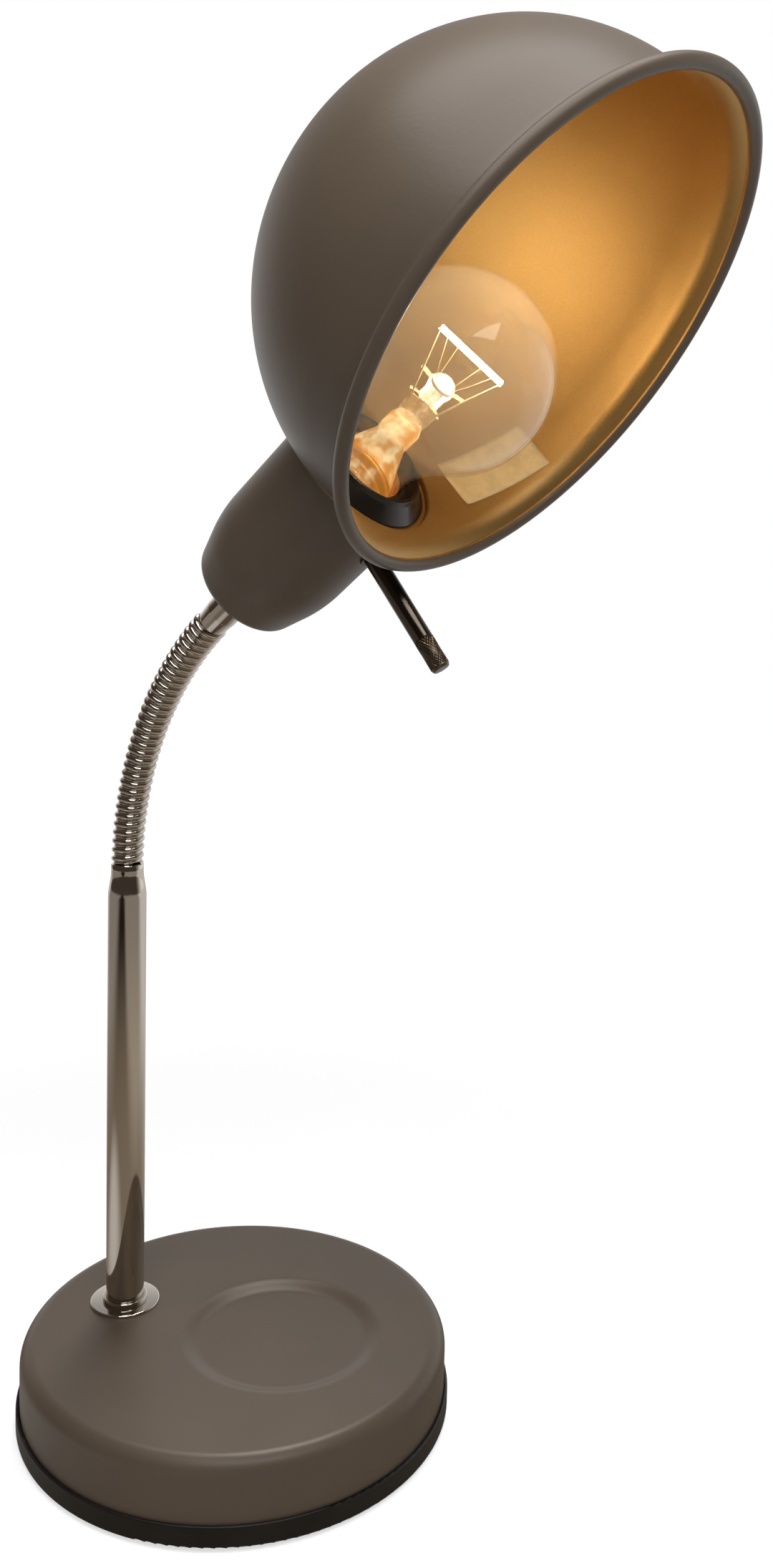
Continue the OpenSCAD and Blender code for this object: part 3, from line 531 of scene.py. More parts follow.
# %% Stem pieces
STEM_R, NECK_R, JOINT_Z, STEM_WALL = 7.35, 6.2, neck_foot.z * 1000, 1
SWAGE_FOOT, SWAGE_LONG, STEM_END = JOINT_Z - 13.4, 10.0, JOINT_Z - 0.7
swage = [
    (STEM_R + (NECK_R - STEM_R) * soft_step(n, 0, 10), SWAGE_FOOT + SWAGE_LONG * n / 10) for n in range(11)
]
stem_line = [(STEM_R - STEM_WALL, STEM_FOOT), (STEM_R, STEM_FOOT), (STEM_R, 70), (STEM_R, 130)] + swage
stem_line += [
    (NECK_R, JOINT_Z - 1.1), (NECK_R - 0.3, STEM_END), (NECK_R - STEM_WALL, STEM_END),
    (NECK_R - STEM_WALL, JOINT_Z - 3),
]
stem = turned("stem_swaged", stem_line, STEM, sides=96)
dress(stem, "base", "chrome", chrome, replaces=["stem_tube"])

FLANGE_R, FLANGE_BORE, COLLAR_R, COLLAR_TOP = 13.5, 4.2, 8.7, 32.3
flange_line = rounded([
    (FLANGE_BORE, BASE_TOP, 0), (FLANGE_R, BASE_TOP, 0), (FLANGE_R, STEM_FOOT, 0.6), (FLANGE_BORE, STEM_FOOT, 0),
], 5)
flange = turned("flange_pressed", flange_line, STEM, sides=96)
dress(flange, "base", "chrome", chrome, replaces=["stem_flange"])

collar_line = rounded([
    (STEM_R, STEM_FOOT, 0), (COLLAR_R, STEM_FOOT, 0), (COLLAR_R, COLLAR_TOP, 0.6), (STEM_R, COLLAR_TOP, 0.3),
    (STEM_R, STEM_FOOT + 0.1, 0),
], 5)
collar = turned("collar_pressed", collar_line, STEM, sides=96)
dress(collar, "base", "chrome", chrome, replaces=["stem_collar"])
print("stem is", round(JOINT_Z - STEM_FOOT, 1), "mm tall")

# %% [markdown]
# ## The wound gooseneck
# A gooseneck is two springs wound into each other: a round wire outside and a thinner one in its
# valleys. One Geometry Nodes tree makes any such wire along an arc and, without turns, the lead.
# It is run for each joint: a piece reaches from the middle of one link to the middle of the next.

# %% A tree that winds wire along an arc


def new_tree(name, inputs):
    """An empty Geometry Nodes tree, its inputs as signals, and the identifier of each input."""
    tree = bpy.data.node_groups.new(name, "GeometryNodeTree")
    identifiers = {}
    for title, kind in inputs.items():
        made = tree.interface.new_socket(name=title, in_out="INPUT", socket_type="NodeSocket" + kind)
        identifiers[title] = made.identifier
    tree.interface.new_socket(name="Geometry", in_out="OUTPUT", socket_type="NodeSocketGeometry")
    enter = tree.nodes.new("NodeGroupInput")
    return tree, {title: Signal(tree, enter.outputs[title]) for title in inputs}, identifiers


def wire_through(tree, count, where, sides, thick):
    """A wire of round section through points that are placed by their number."""
    line = add(tree, "GeometryNodeMeshLine", Count=count)
    curve = add(tree, "GeometryNodeMeshToCurve", Mesh=line)
    path = add(tree, "GeometryNodeSetPosition", Geometry=curve, Position=where)
    section = add(tree, "GeometryNodeCurvePrimitiveCircle", Resolution=sides, Radius=thick)
    return add(tree, "GeometryNodeCurveToMesh", Curve=path, In_1=section, Fill_Caps=True)


def end_tree(tree, geometry, material):
    """Makes the instances real, gives them their material and ends the tree."""
    real = add(tree, "GeometryNodeRealizeInstances", Geometry=geometry)
    painted = add(tree, "GeometryNodeSetMaterial", Geometry=real, Material=material)
    leave = tree.nodes.new("NodeGroupOutput")
    tree.links.new(painted.socket, leave.inputs[0])


def evaluated_mesh(obj):
    """A plain mesh of what an object's modifiers, or its curve, make."""
    ready = obj.evaluated_get(bpy.context.evaluated_depsgraph_get())
    return bpy.data.meshes.new_from_object(ready)


def run_tree(name, tree, identifiers, sizes):
    """Runs a tree with these sizes and returns a plain mesh."""
    holder = linked(name, bpy.data.meshes.new(name))
    modifier = holder.modifiers.new(name, "NODES")
    modifier.node_group = tree
    for key, value in sizes.items():
        modifier[identifiers[key]] = value
    mesh = evaluated_mesh(holder)
    bpy.data.objects.remove(holder)
    return mesh


def winding_tree():
    """Geometry Nodes: a wire of round section, wound about a centre line that bends towards +x."""
    tree, given, identifiers = new_tree("wound_wire", {
        "Start": "Float", "End": "Float", "Length": "Float", "Bend": "Float", "Turns": "Float", "Phase": "Float",
        "Coil Radius": "Float", "Wire Radius": "Float", "Points": "Int", "Wire Sides": "Int", "Finish": "Material",
    })
    count = given["Points"]
    index = add(tree, "GeometryNodeInputIndex")
    share = given["Start"] + (given["End"] - given["Start"]) * (index / (count - 1.0))
    lean = share * given["Bend"]
    round_about = share * given["Turns"] * (2 * pi) + given["Phase"]
    arc_radius = given["Length"] / given["Bend"]
    from_centre = arc_radius - given["Coil Radius"] * round_about.wave("COSINE")
    x = arc_radius - from_centre * lean.wave("COSINE")
    y = given["Coil Radius"] * round_about.wave("SINE")
    z = from_centre * lean.wave("SINE")
    where = add(tree, "ShaderNodeCombineXYZ", X=x, Y=y, Z=z)
    wire = wire_through(tree, count, where, given["Wire Sides"], given["Wire Radius"])
    end_tree(tree, wire, given["Finish"])
    return tree, identifiers


WIND, WIND_SOCKETS = winding_tree()


def wound(name, matrix, sizes):
    """A wire wound with these sizes, as a plain mesh in its place."""
    mesh = run_tree(name, WIND, WIND_SOCKETS, sizes)
    mesh.name = name
    mesh.transform(matrix)
    return mesh


def joined(name, parts):
    """One object from several meshes or objects, each with its own material; the objects go away."""
    bm = bmesh.new()
    materials = []
    for part in parts:
        mesh = part.data if isinstance(part, bpy.types.Object) else part
        first = len(bm.faces)
        bm.from_mesh(mesh)
        bm.faces.ensure_lookup_table()
        material = next(m for m in mesh.materials if m)
        if material not in materials:
            materials.append(material)
        for face in bm.faces[first:]:
            face.material_index = materials.index(material)
    mesh = bpy.data.meshes.new(name)
    bm.to_mesh(mesh)
    bm.free()
    for face in mesh.polygons:
        face.use_smooth = True
    obj = linked(name, mesh)
    material_of(obj, *materials)
    for part in parts:
        if isinstance(part, bpy.types.Object):
            bpy.data.objects.remove(part)
    return obj


print("winding tree has", len(WIND.nodes), "nodes")

# %% Wind the neck
neck_joints = sorted(
    (j for j in frame["joints"] if j["name"].startswith("neck_")),
    key=lambda j: (Vector(j["pos_m"]) - neck_foot).length,
)
points = [Vector(j["pos_m"]) for j in neck_joints]
LINK = (points[1] - points[0]).length
bend_axis = Vector(joints["neck_bend_01"]["axis"])
between = [(b - a).normalized() for a, b in zip(points, points[1:])]
directions = [Vector((0, 0, 1)), *between, cup_axis]
STEP = directions[1].angle(directions[2])
LINK_ARC = LINK * (STEP / 2) / sin(STEP / 2)
ROUND_WIRE, INNER_WIRE, INNER_DEPTH, LEAD_R = 1.12, 0.8, 1.6, 2.2
TURNS, POINTS_A_LINK = 2.0, 96

for k, joint in enumerate(neck_joints):
    tangent = (directions[k] + directions[k + 1]).normalized()
    matrix = place(points[k], bend_axis.cross(tangent), tangent)
    start = -0.1 if k == 0 else -0.5  # in links from the joint; the first piece starts at the stem
    end = 0.05 if k == len(points) - 1 else 0.5  # and the last one ends at the ferrule
    sizes = {
        "Start": start, "End": end, "Length": LINK_ARC * 1000, "Bend": STEP, "Turns": TURNS,
        "Phase": pi / 2, "Coil Radius": NECK_R - ROUND_WIRE, "Wire Radius": ROUND_WIRE,
        "Points": max(8, int(POINTS_A_LINK * (end - start))), "Wire Sides": 14, "Finish": chrome,
    }
    outer = wound("outer_wire", matrix, sizes)
    inner = wound("inner_wire", matrix, {
        **sizes, "Phase": -pi / 2, "Coil Radius": NECK_R - INNER_DEPTH, "Wire Radius": INNER_WIRE,
        "Wire Sides": 8,
    })
    lead = wound("lead", matrix, {
        **sizes, "Turns": 0.0, "Coil Radius": 0.0, "Wire Radius": LEAD_R, "Points": 7, "Wire Sides": 16,
        "Finish": sheath,
    })
    piece = joined(f"gooseneck_{k:02d}", [outer, inner, lead])
    before = points[k] - directions[k] * LINK / 2
    after = points[k] + directions[k + 1] * LINK / 2
    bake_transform(piece)
    if k > 0:
        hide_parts(f"neck_link_{k:02d}")
    else:
        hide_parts("neck_lead", "neck_end_plug")
print("wound", len(points), "pieces of neck, one link is", round(LINK * 1000, 2), "mm")

# %% [markdown]
# ## Ferrule and cup
# The neck ends in a chromed ferrule that widens towards the cup. The cup is a deep-drawn taupe shell: a
# flat end, a rounded edge, a cone and a bend into a straight tube, whose mouth lies flat against the
# seat that is pressed into the shade.

# %% Ferrule
FERRULE_R, CUP_FOOT = 5.95, 21.2
ferrule_line = rounded([
    (3.0, 0.6, 0), (5.0, 0.4, 0.25), (5.38, 0.8, 0.25), (FERRULE_R, 7.2, 2.0), (FERRULE_R, CUP_FOOT, 0),
    (4.0, CUP_FOOT, 0), (4.0, CUP_FOOT + 11.6, 0.4), (2.9, CUP_FOOT + 12, 0.3), (2.9, 4.0, 0), (3.0, 3.0, 0),
], 6)
ferrule = turned("ferrule_turned", ferrule_line, HEAD, closed=True, sides=96)
dress(ferrule, "head", "chrome", chrome, replaces=["ferrule"])
print("ferrule has", len(ferrule.data.polygons), "faces")

# %% Cup
SHADE_R, SEAT_UP = 72.85, 86.5
CUP_R, CUP_TAPER, CUP_ROUND, CUP_BEND, CONE_MEETS = 23.55, 14.4, 4.8, 56.0, 40.8


def cup_line(inside):
    """Profile of the cup from its end face to its mouth; inside is how far it lies within the outside."""
    lean = radians(CUP_TAPER)
    bend_up = CONE_MEETS + CUP_BEND * tan(lean / 2)
    edge_up = CUP_FOOT + CUP_ROUND
    edge_in = CUP_R + ((edge_up - CONE_MEETS) * sin(lean) - CUP_ROUND) / cos(lean)
    line = [(4.1, CUP_FOOT + inside), (9.0, CUP_FOOT + inside)]
    line += arc((edge_in, edge_up), CUP_ROUND - inside, -90, -CUP_TAPER, 14)
    line += arc((CUP_R - CUP_BEND, bend_up), CUP_BEND - inside, -CUP_TAPER, 0, 12)
    return line + [(CUP_R - inside, 58), (CUP_R - inside, 70), (CUP_R - inside, SEAT_UP)]


cup = turned("cup_drawn", cup_line(0) + cup_line(1.0)[::-1], HEAD, closed=True, sides=144, sharp=50)
dress(cup, "head", "taupe_paint", taupe, replaces=["cup"])
print("cup has", len(cup.data.polygons), "faces")

# %% [markdown]
# ## Shade
# The shade is a spun dome with a short straight part, a small flare and a rolled edge. The profile
# is turned about the shade's own axis, with the taupe outside, the roll and the gold inside as
# separate faces. A boolean then cuts a round hole square to the cup, and the flat seat fills it.

# %% Shade
WALL, STRAIGHT, FLARE, ROLL, RIM_R, RIM_Z = 0.9, 9.8, 8.0, 2.1, 79.1, 17.1


def shade_profile():
    """The outline of the shade's wall, and the slot of each stretch: 0 taupe, 1 gold."""
    outer = arc((0, 0), SHADE_R, -90, 0, 60)
    outer += [(SHADE_R, STRAIGHT)]
    outer += arc((SHADE_R + FLARE, STRAIGHT), FLARE, 178, 132.5, 9)
    roll = arc((RIM_R - ROLL, RIM_Z), ROLL, -138, 176, 26)
    under_roll = arc((RIM_R - ROLL, RIM_Z), ROLL, 180, 196.7, 3)
    lean = arc((SHADE_R + FLARE, STRAIGHT), FLARE + WALL, 131, 180, 9)
    inner = under_roll + lean + [(SHADE_R - WALL, 0)] + arc((0, 0), SHADE_R - WALL, 0, -90, 60)[1:]
    points = outer + roll + inner
    slots = [0] * (len(outer) + len(roll) - 1) + [1] * (len(inner) + 1)
    return points, slots


shade_line, shade_slots = shade_profile()
shade_line[0] = (0.0, shade_line[0][1])
shade_line[-1] = (0.0, shade_line[-1][1])
shell = turned("shade_shell", shade_line, SHADE, sides=256, sharp=60, slots=shade_slots)
material_of(shell, taupe, gold)

SEAT_R, SEAT_IN, SEAT_BORE, SEAT_RISE = 26.0, SEAT_UP + WALL, 14.95, 2.5
hole = SEAT_R - 0.6
cutter = turned("cutter", [(0, 76), (hole, 76), (hole, 96), (0, 96)], HEAD, sides=160)
material_of(cutter, gold)
cut = shell.modifiers.new("hole", "BOOLEAN")
cut.operation = "DIFFERENCE"
cut.solver = "EXACT"
cut.object = cutter
shade_mesh = evaluated_mesh(shell)
bpy.data.objects.remove(shell)
bpy.data.objects.remove(cutter)
shade_mesh.set_sharp_from_angle(angle=radians(55))
shade_shell = linked("shade_spun", shade_mesh)
dress(shade_shell, "head", "taupe_paint", replaces=["shade"])

seat_line = rounded([
    (SEAT_BORE, SEAT_UP, 0), (SEAT_R, SEAT_UP, 0.6), (SEAT_R, SEAT_UP + SEAT_RISE, 0),
    (SEAT_R - WALL, SEAT_UP + SEAT_RISE, 0), (SEAT_R - WALL, SEAT_IN, 0.4), (SEAT_BORE, SEAT_IN, 0),
], 5)
seat_slots = [0 if z < SEAT_IN - 0.4 and r > 20 or z == SEAT_UP else 1 for r, z in seat_line]
seat = turned("shade_seat", seat_line, HEAD, closed=True, sides=160, slots=seat_slots)
dress(seat, "head", "taupe_paint", taupe, gold)
print("shade has", len(shade_mesh.polygons), "faces")

# %% [markdown]
# ## Lampholder skirt
# A glossy black ring holds the shade on the lampholder: a low cone that ends in a rounded lip, with a
# funnel inside it.

# %% Lampholder skirt
SKIRT_FOOT_R, SKIRT_MOUTH_R, SKIRT_TOP = 23.5, 17.0, SEAT_IN + 5.8
skirt_line = rounded([
    (SEAT_BORE, SEAT_IN, 0), (SKIRT_FOOT_R, SEAT_IN, 0.2), (SKIRT_FOOT_R, SEAT_IN + 0.9, 0.4),
    (18.9, SKIRT_TOP - 1.2, 0.8), (18.2, SKIRT_TOP, 0.35), (SKIRT_MOUTH_R, SKIRT_TOP, 0.3),
    (SEAT_BORE, SEAT_IN + 2.9, 0.4), (SEAT_BORE, SEAT_IN + 0.1, 0),
], 5)
skirt = turned("holder_skirt_moulded", skirt_line, HEAD, sides=128)
dress(skirt, "head", "black_bakelite", skirt_black, replaces=["holder_skirt"])
print("skirt has", len(skirt.data.polygons), "faces")

# %% [markdown]
# ## Switch rod
# The switch is turned by a black-chromed rod with a diamond knurl at its tip: two sets of fine
# ridges that cross. A tree repeats one leaning ridge round the rod, once to each side.

# %% Knurled rod
RIDGE_POINTS, RIDGE_SIDES = 16, 4


def knurl_tree():
    """Geometry Nodes: fine ridges that lean both ways round a cylinder, from z = 0 up."""
    tree, given, identifiers = new_tree("knurl", {
        "Radius": "Float", "Length": "Float", "Lean": "Float", "Ridges": "Int", "Ridge Size": "Float",
        "Finish": "Material",
    })
    index = add(tree, "GeometryNodeInputIndex")
    both = tree.nodes.new("GeometryNodeJoinGeometry")
    for side in (-1.0, 1.0):
        share = index / (RIDGE_POINTS - 1.0)
        about = share * given["Lean"] * side
        x = given["Radius"] * about.wave("COSINE")
        y = given["Radius"] * about.wave("SINE")
        where = add(tree, "ShaderNodeCombineXYZ", X=x, Y=y, Z=share * given["Length"])
        ridge = wire_through(tree, RIDGE_POINTS, where, RIDGE_SIDES, given["Ridge Size"])
        ridges = given["Ridges"]
        spots = add(tree, "GeometryNodeMeshLine", {"mode": "OFFSET"}, Count=ridges, Offset=(0, 0, 0))
        angle = index * (2 * pi) / ridges
        turn = add(tree, "ShaderNodeCombineXYZ", Z=angle)
        many = add(tree, "GeometryNodeInstanceOnPoints", Points=spots, Instance=ridge, Rotation=turn)
        tree.links.new(many.socket, both.inputs[0])
    end_tree(tree, Signal(tree, both.outputs[0]), given["Finish"])
    return tree, identifiers


KNURL, KNURL_SOCKETS = knurl_tree()
ROD_R, ROD_FROM, ROD_TIP, KNURL_LONG = 3.2, 17.3, 66.4, 11.0
KNURL_FOOT, CORE_R = ROD_TIP - KNURL_LONG, ROD_R - 0.16
rod_line = rounded([
    (0, ROD_FROM, 0), (ROD_R, ROD_FROM, 0.1), (ROD_R, KNURL_FOOT - 0.2, 0.15), (ROD_R - 0.3, KNURL_FOOT, 0),
    (0, KNURL_FOOT, 0),
], 4)
rod = turned("switch_rod_turned", rod_line, ROD, sides=64)
tip_line = rounded([
    (0, KNURL_FOOT - 0.02, 0), (CORE_R, KNURL_FOOT - 0.02, 0.1), (CORE_R, ROD_TIP - 0.9, 0.1),
    (ROD_R - 0.1, ROD_TIP - 0.8, 0.1), (ROD_R - 0.55, ROD_TIP, 0.2), (0, ROD_TIP, 0),
], 4)
tip = turned("rod_tip", tip_line, ROD, sides=64)
ridges = run_tree("knurl", KNURL, KNURL_SOCKETS, {
    "Radius": ROD_R - 0.2, "Length": KNURL_LONG - 1.2, "Lean": 1.9, "Ridges": 22, "Ridge Size": 0.2,
    "Finish": knurl_chrome,
})
ridges.transform(ROD @ slide(0, 0, KNURL_FOOT + 0.1))
material_of(rod, black_chrome)
material_of(tip, knurl_chrome)
knurled = joined("switch_rod_knurled", [rod, tip, ridges])
knurled.data.set_sharp_from_angle(angle=radians(35))
dress(knurled, "switch", "black_chrome", replaces=["switch_rod"])
print("rod has", len(knurled.data.polygons), "faces")

# %% [markdown]
# ## Bulb
# A clear screw bulb: a thin glass envelope, a brass cap with a rolled thread, and inside it the
# pressed glass stem, the lead wires and the coiled filament, which glows.

# %% Bulb finishes
glass, tree, shader = finish("clear_glass")
tree.nodes.remove(shader)
facing = add(tree, "ShaderNodeLayerWeight", output=1, Blend=0.35)
haze = noise(tree, 90.0, 3.0)
see_through = add(tree, "ShaderNodeBsdfTransparent", Color=(0.99, 0.975, 0.94, 1))
gloss = add(tree, "ShaderNodeBsdfGlossy", {"distribution": "GGX"}, Color=(1, 0.98, 0.93, 1), Roughness=0.03)
film = add(tree, "ShaderNodeBsdfTranslucent", Color=(1, 0.95, 0.86, 1))
dusty = add(tree, "ShaderNodeMixShader", In_0=0.02 + 0.03 * haze, In_1=see_through, In_2=film)
share = (0.02 + 0.45 * facing ** 3.0 + 0.012 * haze).clamped()
skin = add(tree, "ShaderNodeMixShader", In_0=share, In_1=dusty, In_2=gloss)
tree.links.new(skin.socket, tree.nodes["Material Output"].inputs["Surface"])

glow = finish(
    "glowing_filament", Roughness=0.5, Base_Color=(1, 0.9, 0.7, 1), Emission_Color=(1.0, 0.82, 0.5, 1),
    Emission_Strength=25.0,
)[0]

lead_wire = spotted("lead_wire", rgb(206, 186, 132), rgb(236, 214, 160), 700.0, 0.25, 0.4, Metallic=0.6)


def melted(name, dark, light, painted_glow_colour, glowing, see, size, relief):
    """Hot-pressed glass: partly see-through, with lumps, and a painted glow: warm colour and emission for the
    filament's light.
    """
    material, tree, shader = finish(name, Roughness=0.08, Emission_Strength=glowing)
    lumps = noise(tree, size, 2.0)
    feed(tree, shader.inputs["Base Color"], mixed(tree, lumps.span(0.35, 0.65), dark, light))
    feed(tree, shader.inputs["Alpha"], see + 0.3 * lumps.span(0.45, 0.7))
    feed(tree, shader.inputs["Emission Color"], mixed(tree, lumps.span(0.4, 0.65), painted_glow_colour, light))
    bump(tree, shader, lumps, relief, 0.9)
    return material


# The glass stem and its rod are no lamps: their warm colour and emission are a painted glow that stands in for the
# filament's light on them.
mount_glass_painted_glow = melted(
    "mount_glass_painted_glow", rgb(226, 158, 66), rgb(255, 236, 186), rgb(242, 160, 50), 1.0, 0.3, 150.0, 0.0003,
)
rod_glass_painted_glow = melted(
    "rod_glass_painted_glow", rgb(228, 190, 130), rgb(246, 218, 166), rgb(222, 168, 96), 0.3, 0.3, 260.0, 0.0004,
)
button_white = spotted("button_glass", rgb(250, 240, 214), rgb(255, 250, 236), 300.0, 0.15, 0.3)
print("made", glass.name, glow.name, lead_wire.name, mount_glass_painted_glow.name)

# %% Envelope and cap
BALL_AT, BALL_R, BALL_END, GLASS_NECK_R = 131.3, 30.0, -42, 12.9
CAP_RIM, CAP_R, CAP_FOOT = 89.5, 13.25, 64.5
NEARLY_STRAIGHT = 0.0005  # the winding tree divides by its bend, so it can't be 0


def envelope(off):
    """Profile of the glass from its crown into the cap; off is how far it lies within the outside."""
    line = arc((0, BALL_AT), BALL_R - off, 90, BALL_END, 44)
    last = Vector(line[-1])
    heading = Vector((sin(radians(BALL_END)), -cos(radians(BALL_END))))
    target, down = Vector((GLASS_NECK_R - off, CAP_RIM + 3.0)), Vector((0, -1))
    reach = (last - target).length * 0.42
    for n in range(1, 15):
        t = n / 14
        p = (
            last * (1 - t) ** 3
            + (last + heading * reach) * 3 * t * (1 - t) ** 2
            + (target - down * reach * 0.7) * 3 * t * t * (1 - t)
            + target * t ** 3
        )
        line.append((p.x, p.y))
    return line + [(GLASS_NECK_R - off, CAP_RIM - 4)]


outside, inside = envelope(0), envelope(0.7)
outside[0], inside[0] = (0.0, outside[0][1]), (0.0, inside[0][1])
bulb_glass = turned("bulb_envelope", outside + inside[::-1], HEAD, sides=128)
dress(bulb_glass, "bulb", "glass", glass, replaces=["bulb_glass"])

cap_line = rounded([
    (6.8, CAP_FOOT, 0), (8.0, CAP_FOOT + 0.3, 0.3), (12.5, CAP_FOOT + 3.2, 0.5), (12.5, CAP_RIM - 3.2, 0.4),
    (CAP_R, CAP_RIM - 2.4, 0.3), (CAP_R, CAP_RIM, 0.12), (CAP_R - 0.3, CAP_RIM, 0.1),
    (CAP_R - 0.3, CAP_RIM - 2.6, 0.3), (12.2, CAP_RIM - 3.6, 0.3), (12.2, CAP_FOOT + 3.4, 0.4),
    (7.4, CAP_FOOT + 0.4, 0),
], 4)
cap = turned("bulb_cap_turned", cap_line, HEAD, sides=96)
material_of(cap, brass)
thread = wound("thread", BULB @ slide(0, 0, CAP_FOOT + 11.8), {
    "Start": -0.5, "End": 0.5, "Length": 17.0, "Bend": NEARLY_STRAIGHT, "Turns": 4.7, "Phase": 0.0,
    "Coil Radius": 12.3, "Wire Radius": 0.9, "Points": 260, "Wire Sides": 10, "Finish": brass,
})
threaded = joined("bulb_cap_threaded", [cap, thread])
dress(threaded, "bulb", "brass", replaces=["bulb_cap"])
print("envelope has", len(bulb_glass.data.polygons), "faces")

# %% Glass stem, wires and filament
MOUNT_TUBE_R, PINCH_AT, BUTTON_AT, BUTTON_R, PINCH_SIDES = 5.6, 111.5, 125.7, 3.8, 40
mount_line = rounded([
    (12.1, CAP_RIM - 4, 0), (9.6, CAP_RIM + 2, 4), (MOUNT_TUBE_R, PINCH_AT - 10.5, 2.5),
    (MOUNT_TUBE_R + 0.3, PINCH_AT - 8, 0.6), (MOUNT_TUBE_R + 0.2, PINCH_AT - 3.5, 0.8),
    (MOUNT_TUBE_R - 1.0, PINCH_AT - 0.8, 1.0), (0, PINCH_AT, 0),
], 5)
mount = turned("stem", mount_line, BULB, sides=64)
material_of(mount, mount_glass_painted_glow)


def pressed(name, sections, material):
    """A solid through oval sections (half width, half depth, height), as hot glass is pressed flat."""
    bm = bmesh.new()
    rings = [oval(bm, BULB, PINCH_SIDES, wide, deep, z) for wide, deep, z in sections]
    lay_faces(bm, rings)
    bm.faces.new(rings[0][::-1])
    bm.faces.new(rings[-1])
    piece = mesh_object(name, bm)
    material_of(piece, material)
    return piece


pinch = pressed("pinch", [
    (4.9, 3.0, PINCH_AT - 2), (5.2, 2.0, PINCH_AT + 0.6), (5.35, 1.4, PINCH_AT + 2.4), (5.4, 1.2, PINCH_AT + 5.2),
    (5.0, 0.8, PINCH_AT + 6),
], rod_glass_painted_glow)
glass_rod_line = rounded([
    (0, PINCH_AT + 4.5, 0), (2.3, PINCH_AT + 4.8, 0.3), (2.2, BUTTON_AT - 2.2, 1.0), (3.0, BUTTON_AT - 0.8, 0.3),
    (0, BUTTON_AT - 0.8, 0),
], 4)
glass_rod = turned("rod", glass_rod_line, BULB, sides=48)
material_of(glass_rod, rod_glass_painted_glow)
button_line = rounded([
    (0, BUTTON_AT - 0.9, 0), (BUTTON_R, BUTTON_AT - 0.8, 0.4), (BUTTON_R, BUTTON_AT + 0.6, 0.5),
    (0, BUTTON_AT + 0.9, 0),
], 5)
button = turned("button", button_line, BULB, sides=48)
material_of(button, button_white)
stem_pieces = joined("bulb_stem_pressed", [mount, pinch, glass_rod, button])
stem_pieces.data.set_sharp_from_angle(angle=radians(40))
dress(stem_pieces, "bulb", "glass", replaces=["glass_mount"])

COIL_Z, COIL_HALF = 138.7, 12.0
crosswise = Matrix.Rotation(radians(90), 4, "Y")
filament = wound("filament_coiled", BULB @ slide(0, 0, COIL_Z) @ crosswise, {
    "Start": -0.5, "End": 0.5, "Length": 2 * COIL_HALF, "Bend": NEARLY_STRAIGHT, "Turns": 34.0, "Phase": 0.0,
    "Coil Radius": 0.72, "Wire Radius": 0.26, "Points": 700, "Wire Sides": 6, "Finish": glow,
})
coil = joined("filament_coiled", [filament])
dress(coil, "bulb", "tungsten", replaces=["filament"])


def bent_wire(name, corners, radius, material):
    """A round wire through these points, made as a curve and turned into a mesh."""
    curve = bpy.data.curves.new(name, "CURVE")
    curve.dimensions = "3D"
    curve.bevel_depth = radius
    curve.bevel_resolution = 3
    spline = curve.splines.new("POLY")
    spline.points.add(len(corners) - 1)
    for point, corner in zip(spline.points, corners):
        point.co = (*corner, 1)
    curve.use_fill_caps = True
    temporary = linked(name, curve)
    mesh = evaluated_mesh(temporary)
    bpy.data.objects.remove(temporary)
    mesh.transform(BULB)
    mesh.materials.clear()
    mesh.materials.append(material)
    return mesh


HOOK_FROM, HOOK_TO = COIL_Z - 0.9, COIL_Z + 1.0  # where the supports hold the coil
wires = []
for side in (-1, 1):
    wires.append(bent_wire("lead", [
        (side * 4.4, 0, PINCH_AT + 3), (side * 5.0, 0, PINCH_AT + 6.2), (side * 5.4, 0.1, PINCH_AT + 7),
        (side * 8.4, 0.5, COIL_Z - 11), (side * (COIL_HALF - 0.4), 0, COIL_Z - 1.2),
        (side * (COIL_HALF + 0.2), 0, COIL_Z + 0.4),
    ], 0.32, lead_wire))
    wires.append(bent_wire("support", [
        (side * 2.3, 0.6, BUTTON_AT), (side * 3.0, 0.6, BUTTON_AT + 3), (side * 4.5, 0, HOOK_FROM),
        (side * 4.4, 0, HOOK_TO),
    ], 0.15, lead_wire))
    wires.append(bent_wire("support", [
        (side * 2.6, -0.8, BUTTON_AT), (side * 5.5, -1.2, BUTTON_AT + 5.5), (side * 8.6, -0.4, HOOK_FROM),
        (side * 8.5, 0, HOOK_TO),
    ], 0.13, lead_wire))
bar = [(-5.4, 0, PINCH_AT + 5.9), (0, 0.2, PINCH_AT + 6.2), (5.4, 0, PINCH_AT + 5.9)]
wires.append(bent_wire("bar", bar, 0.3, lead_wire))
lead_pair = joined("bulb_wires", wires)
dress(lead_pair, "bulb", "zinc", replaces=["lead_wires"])
print("filament has", len(coil.data.polygons), "faces")

# %% [markdown]
# ## Blank sticker
# A blank paper sticker lies inside the shade: a plain cream patch, bent to the dome, with slightly
# lifted edges.

# %% Sticker
paper = spotted("sticker_paper", rgb(206, 178, 128), rgb(220, 192, 142), 240.0, 0.45, 0.6)


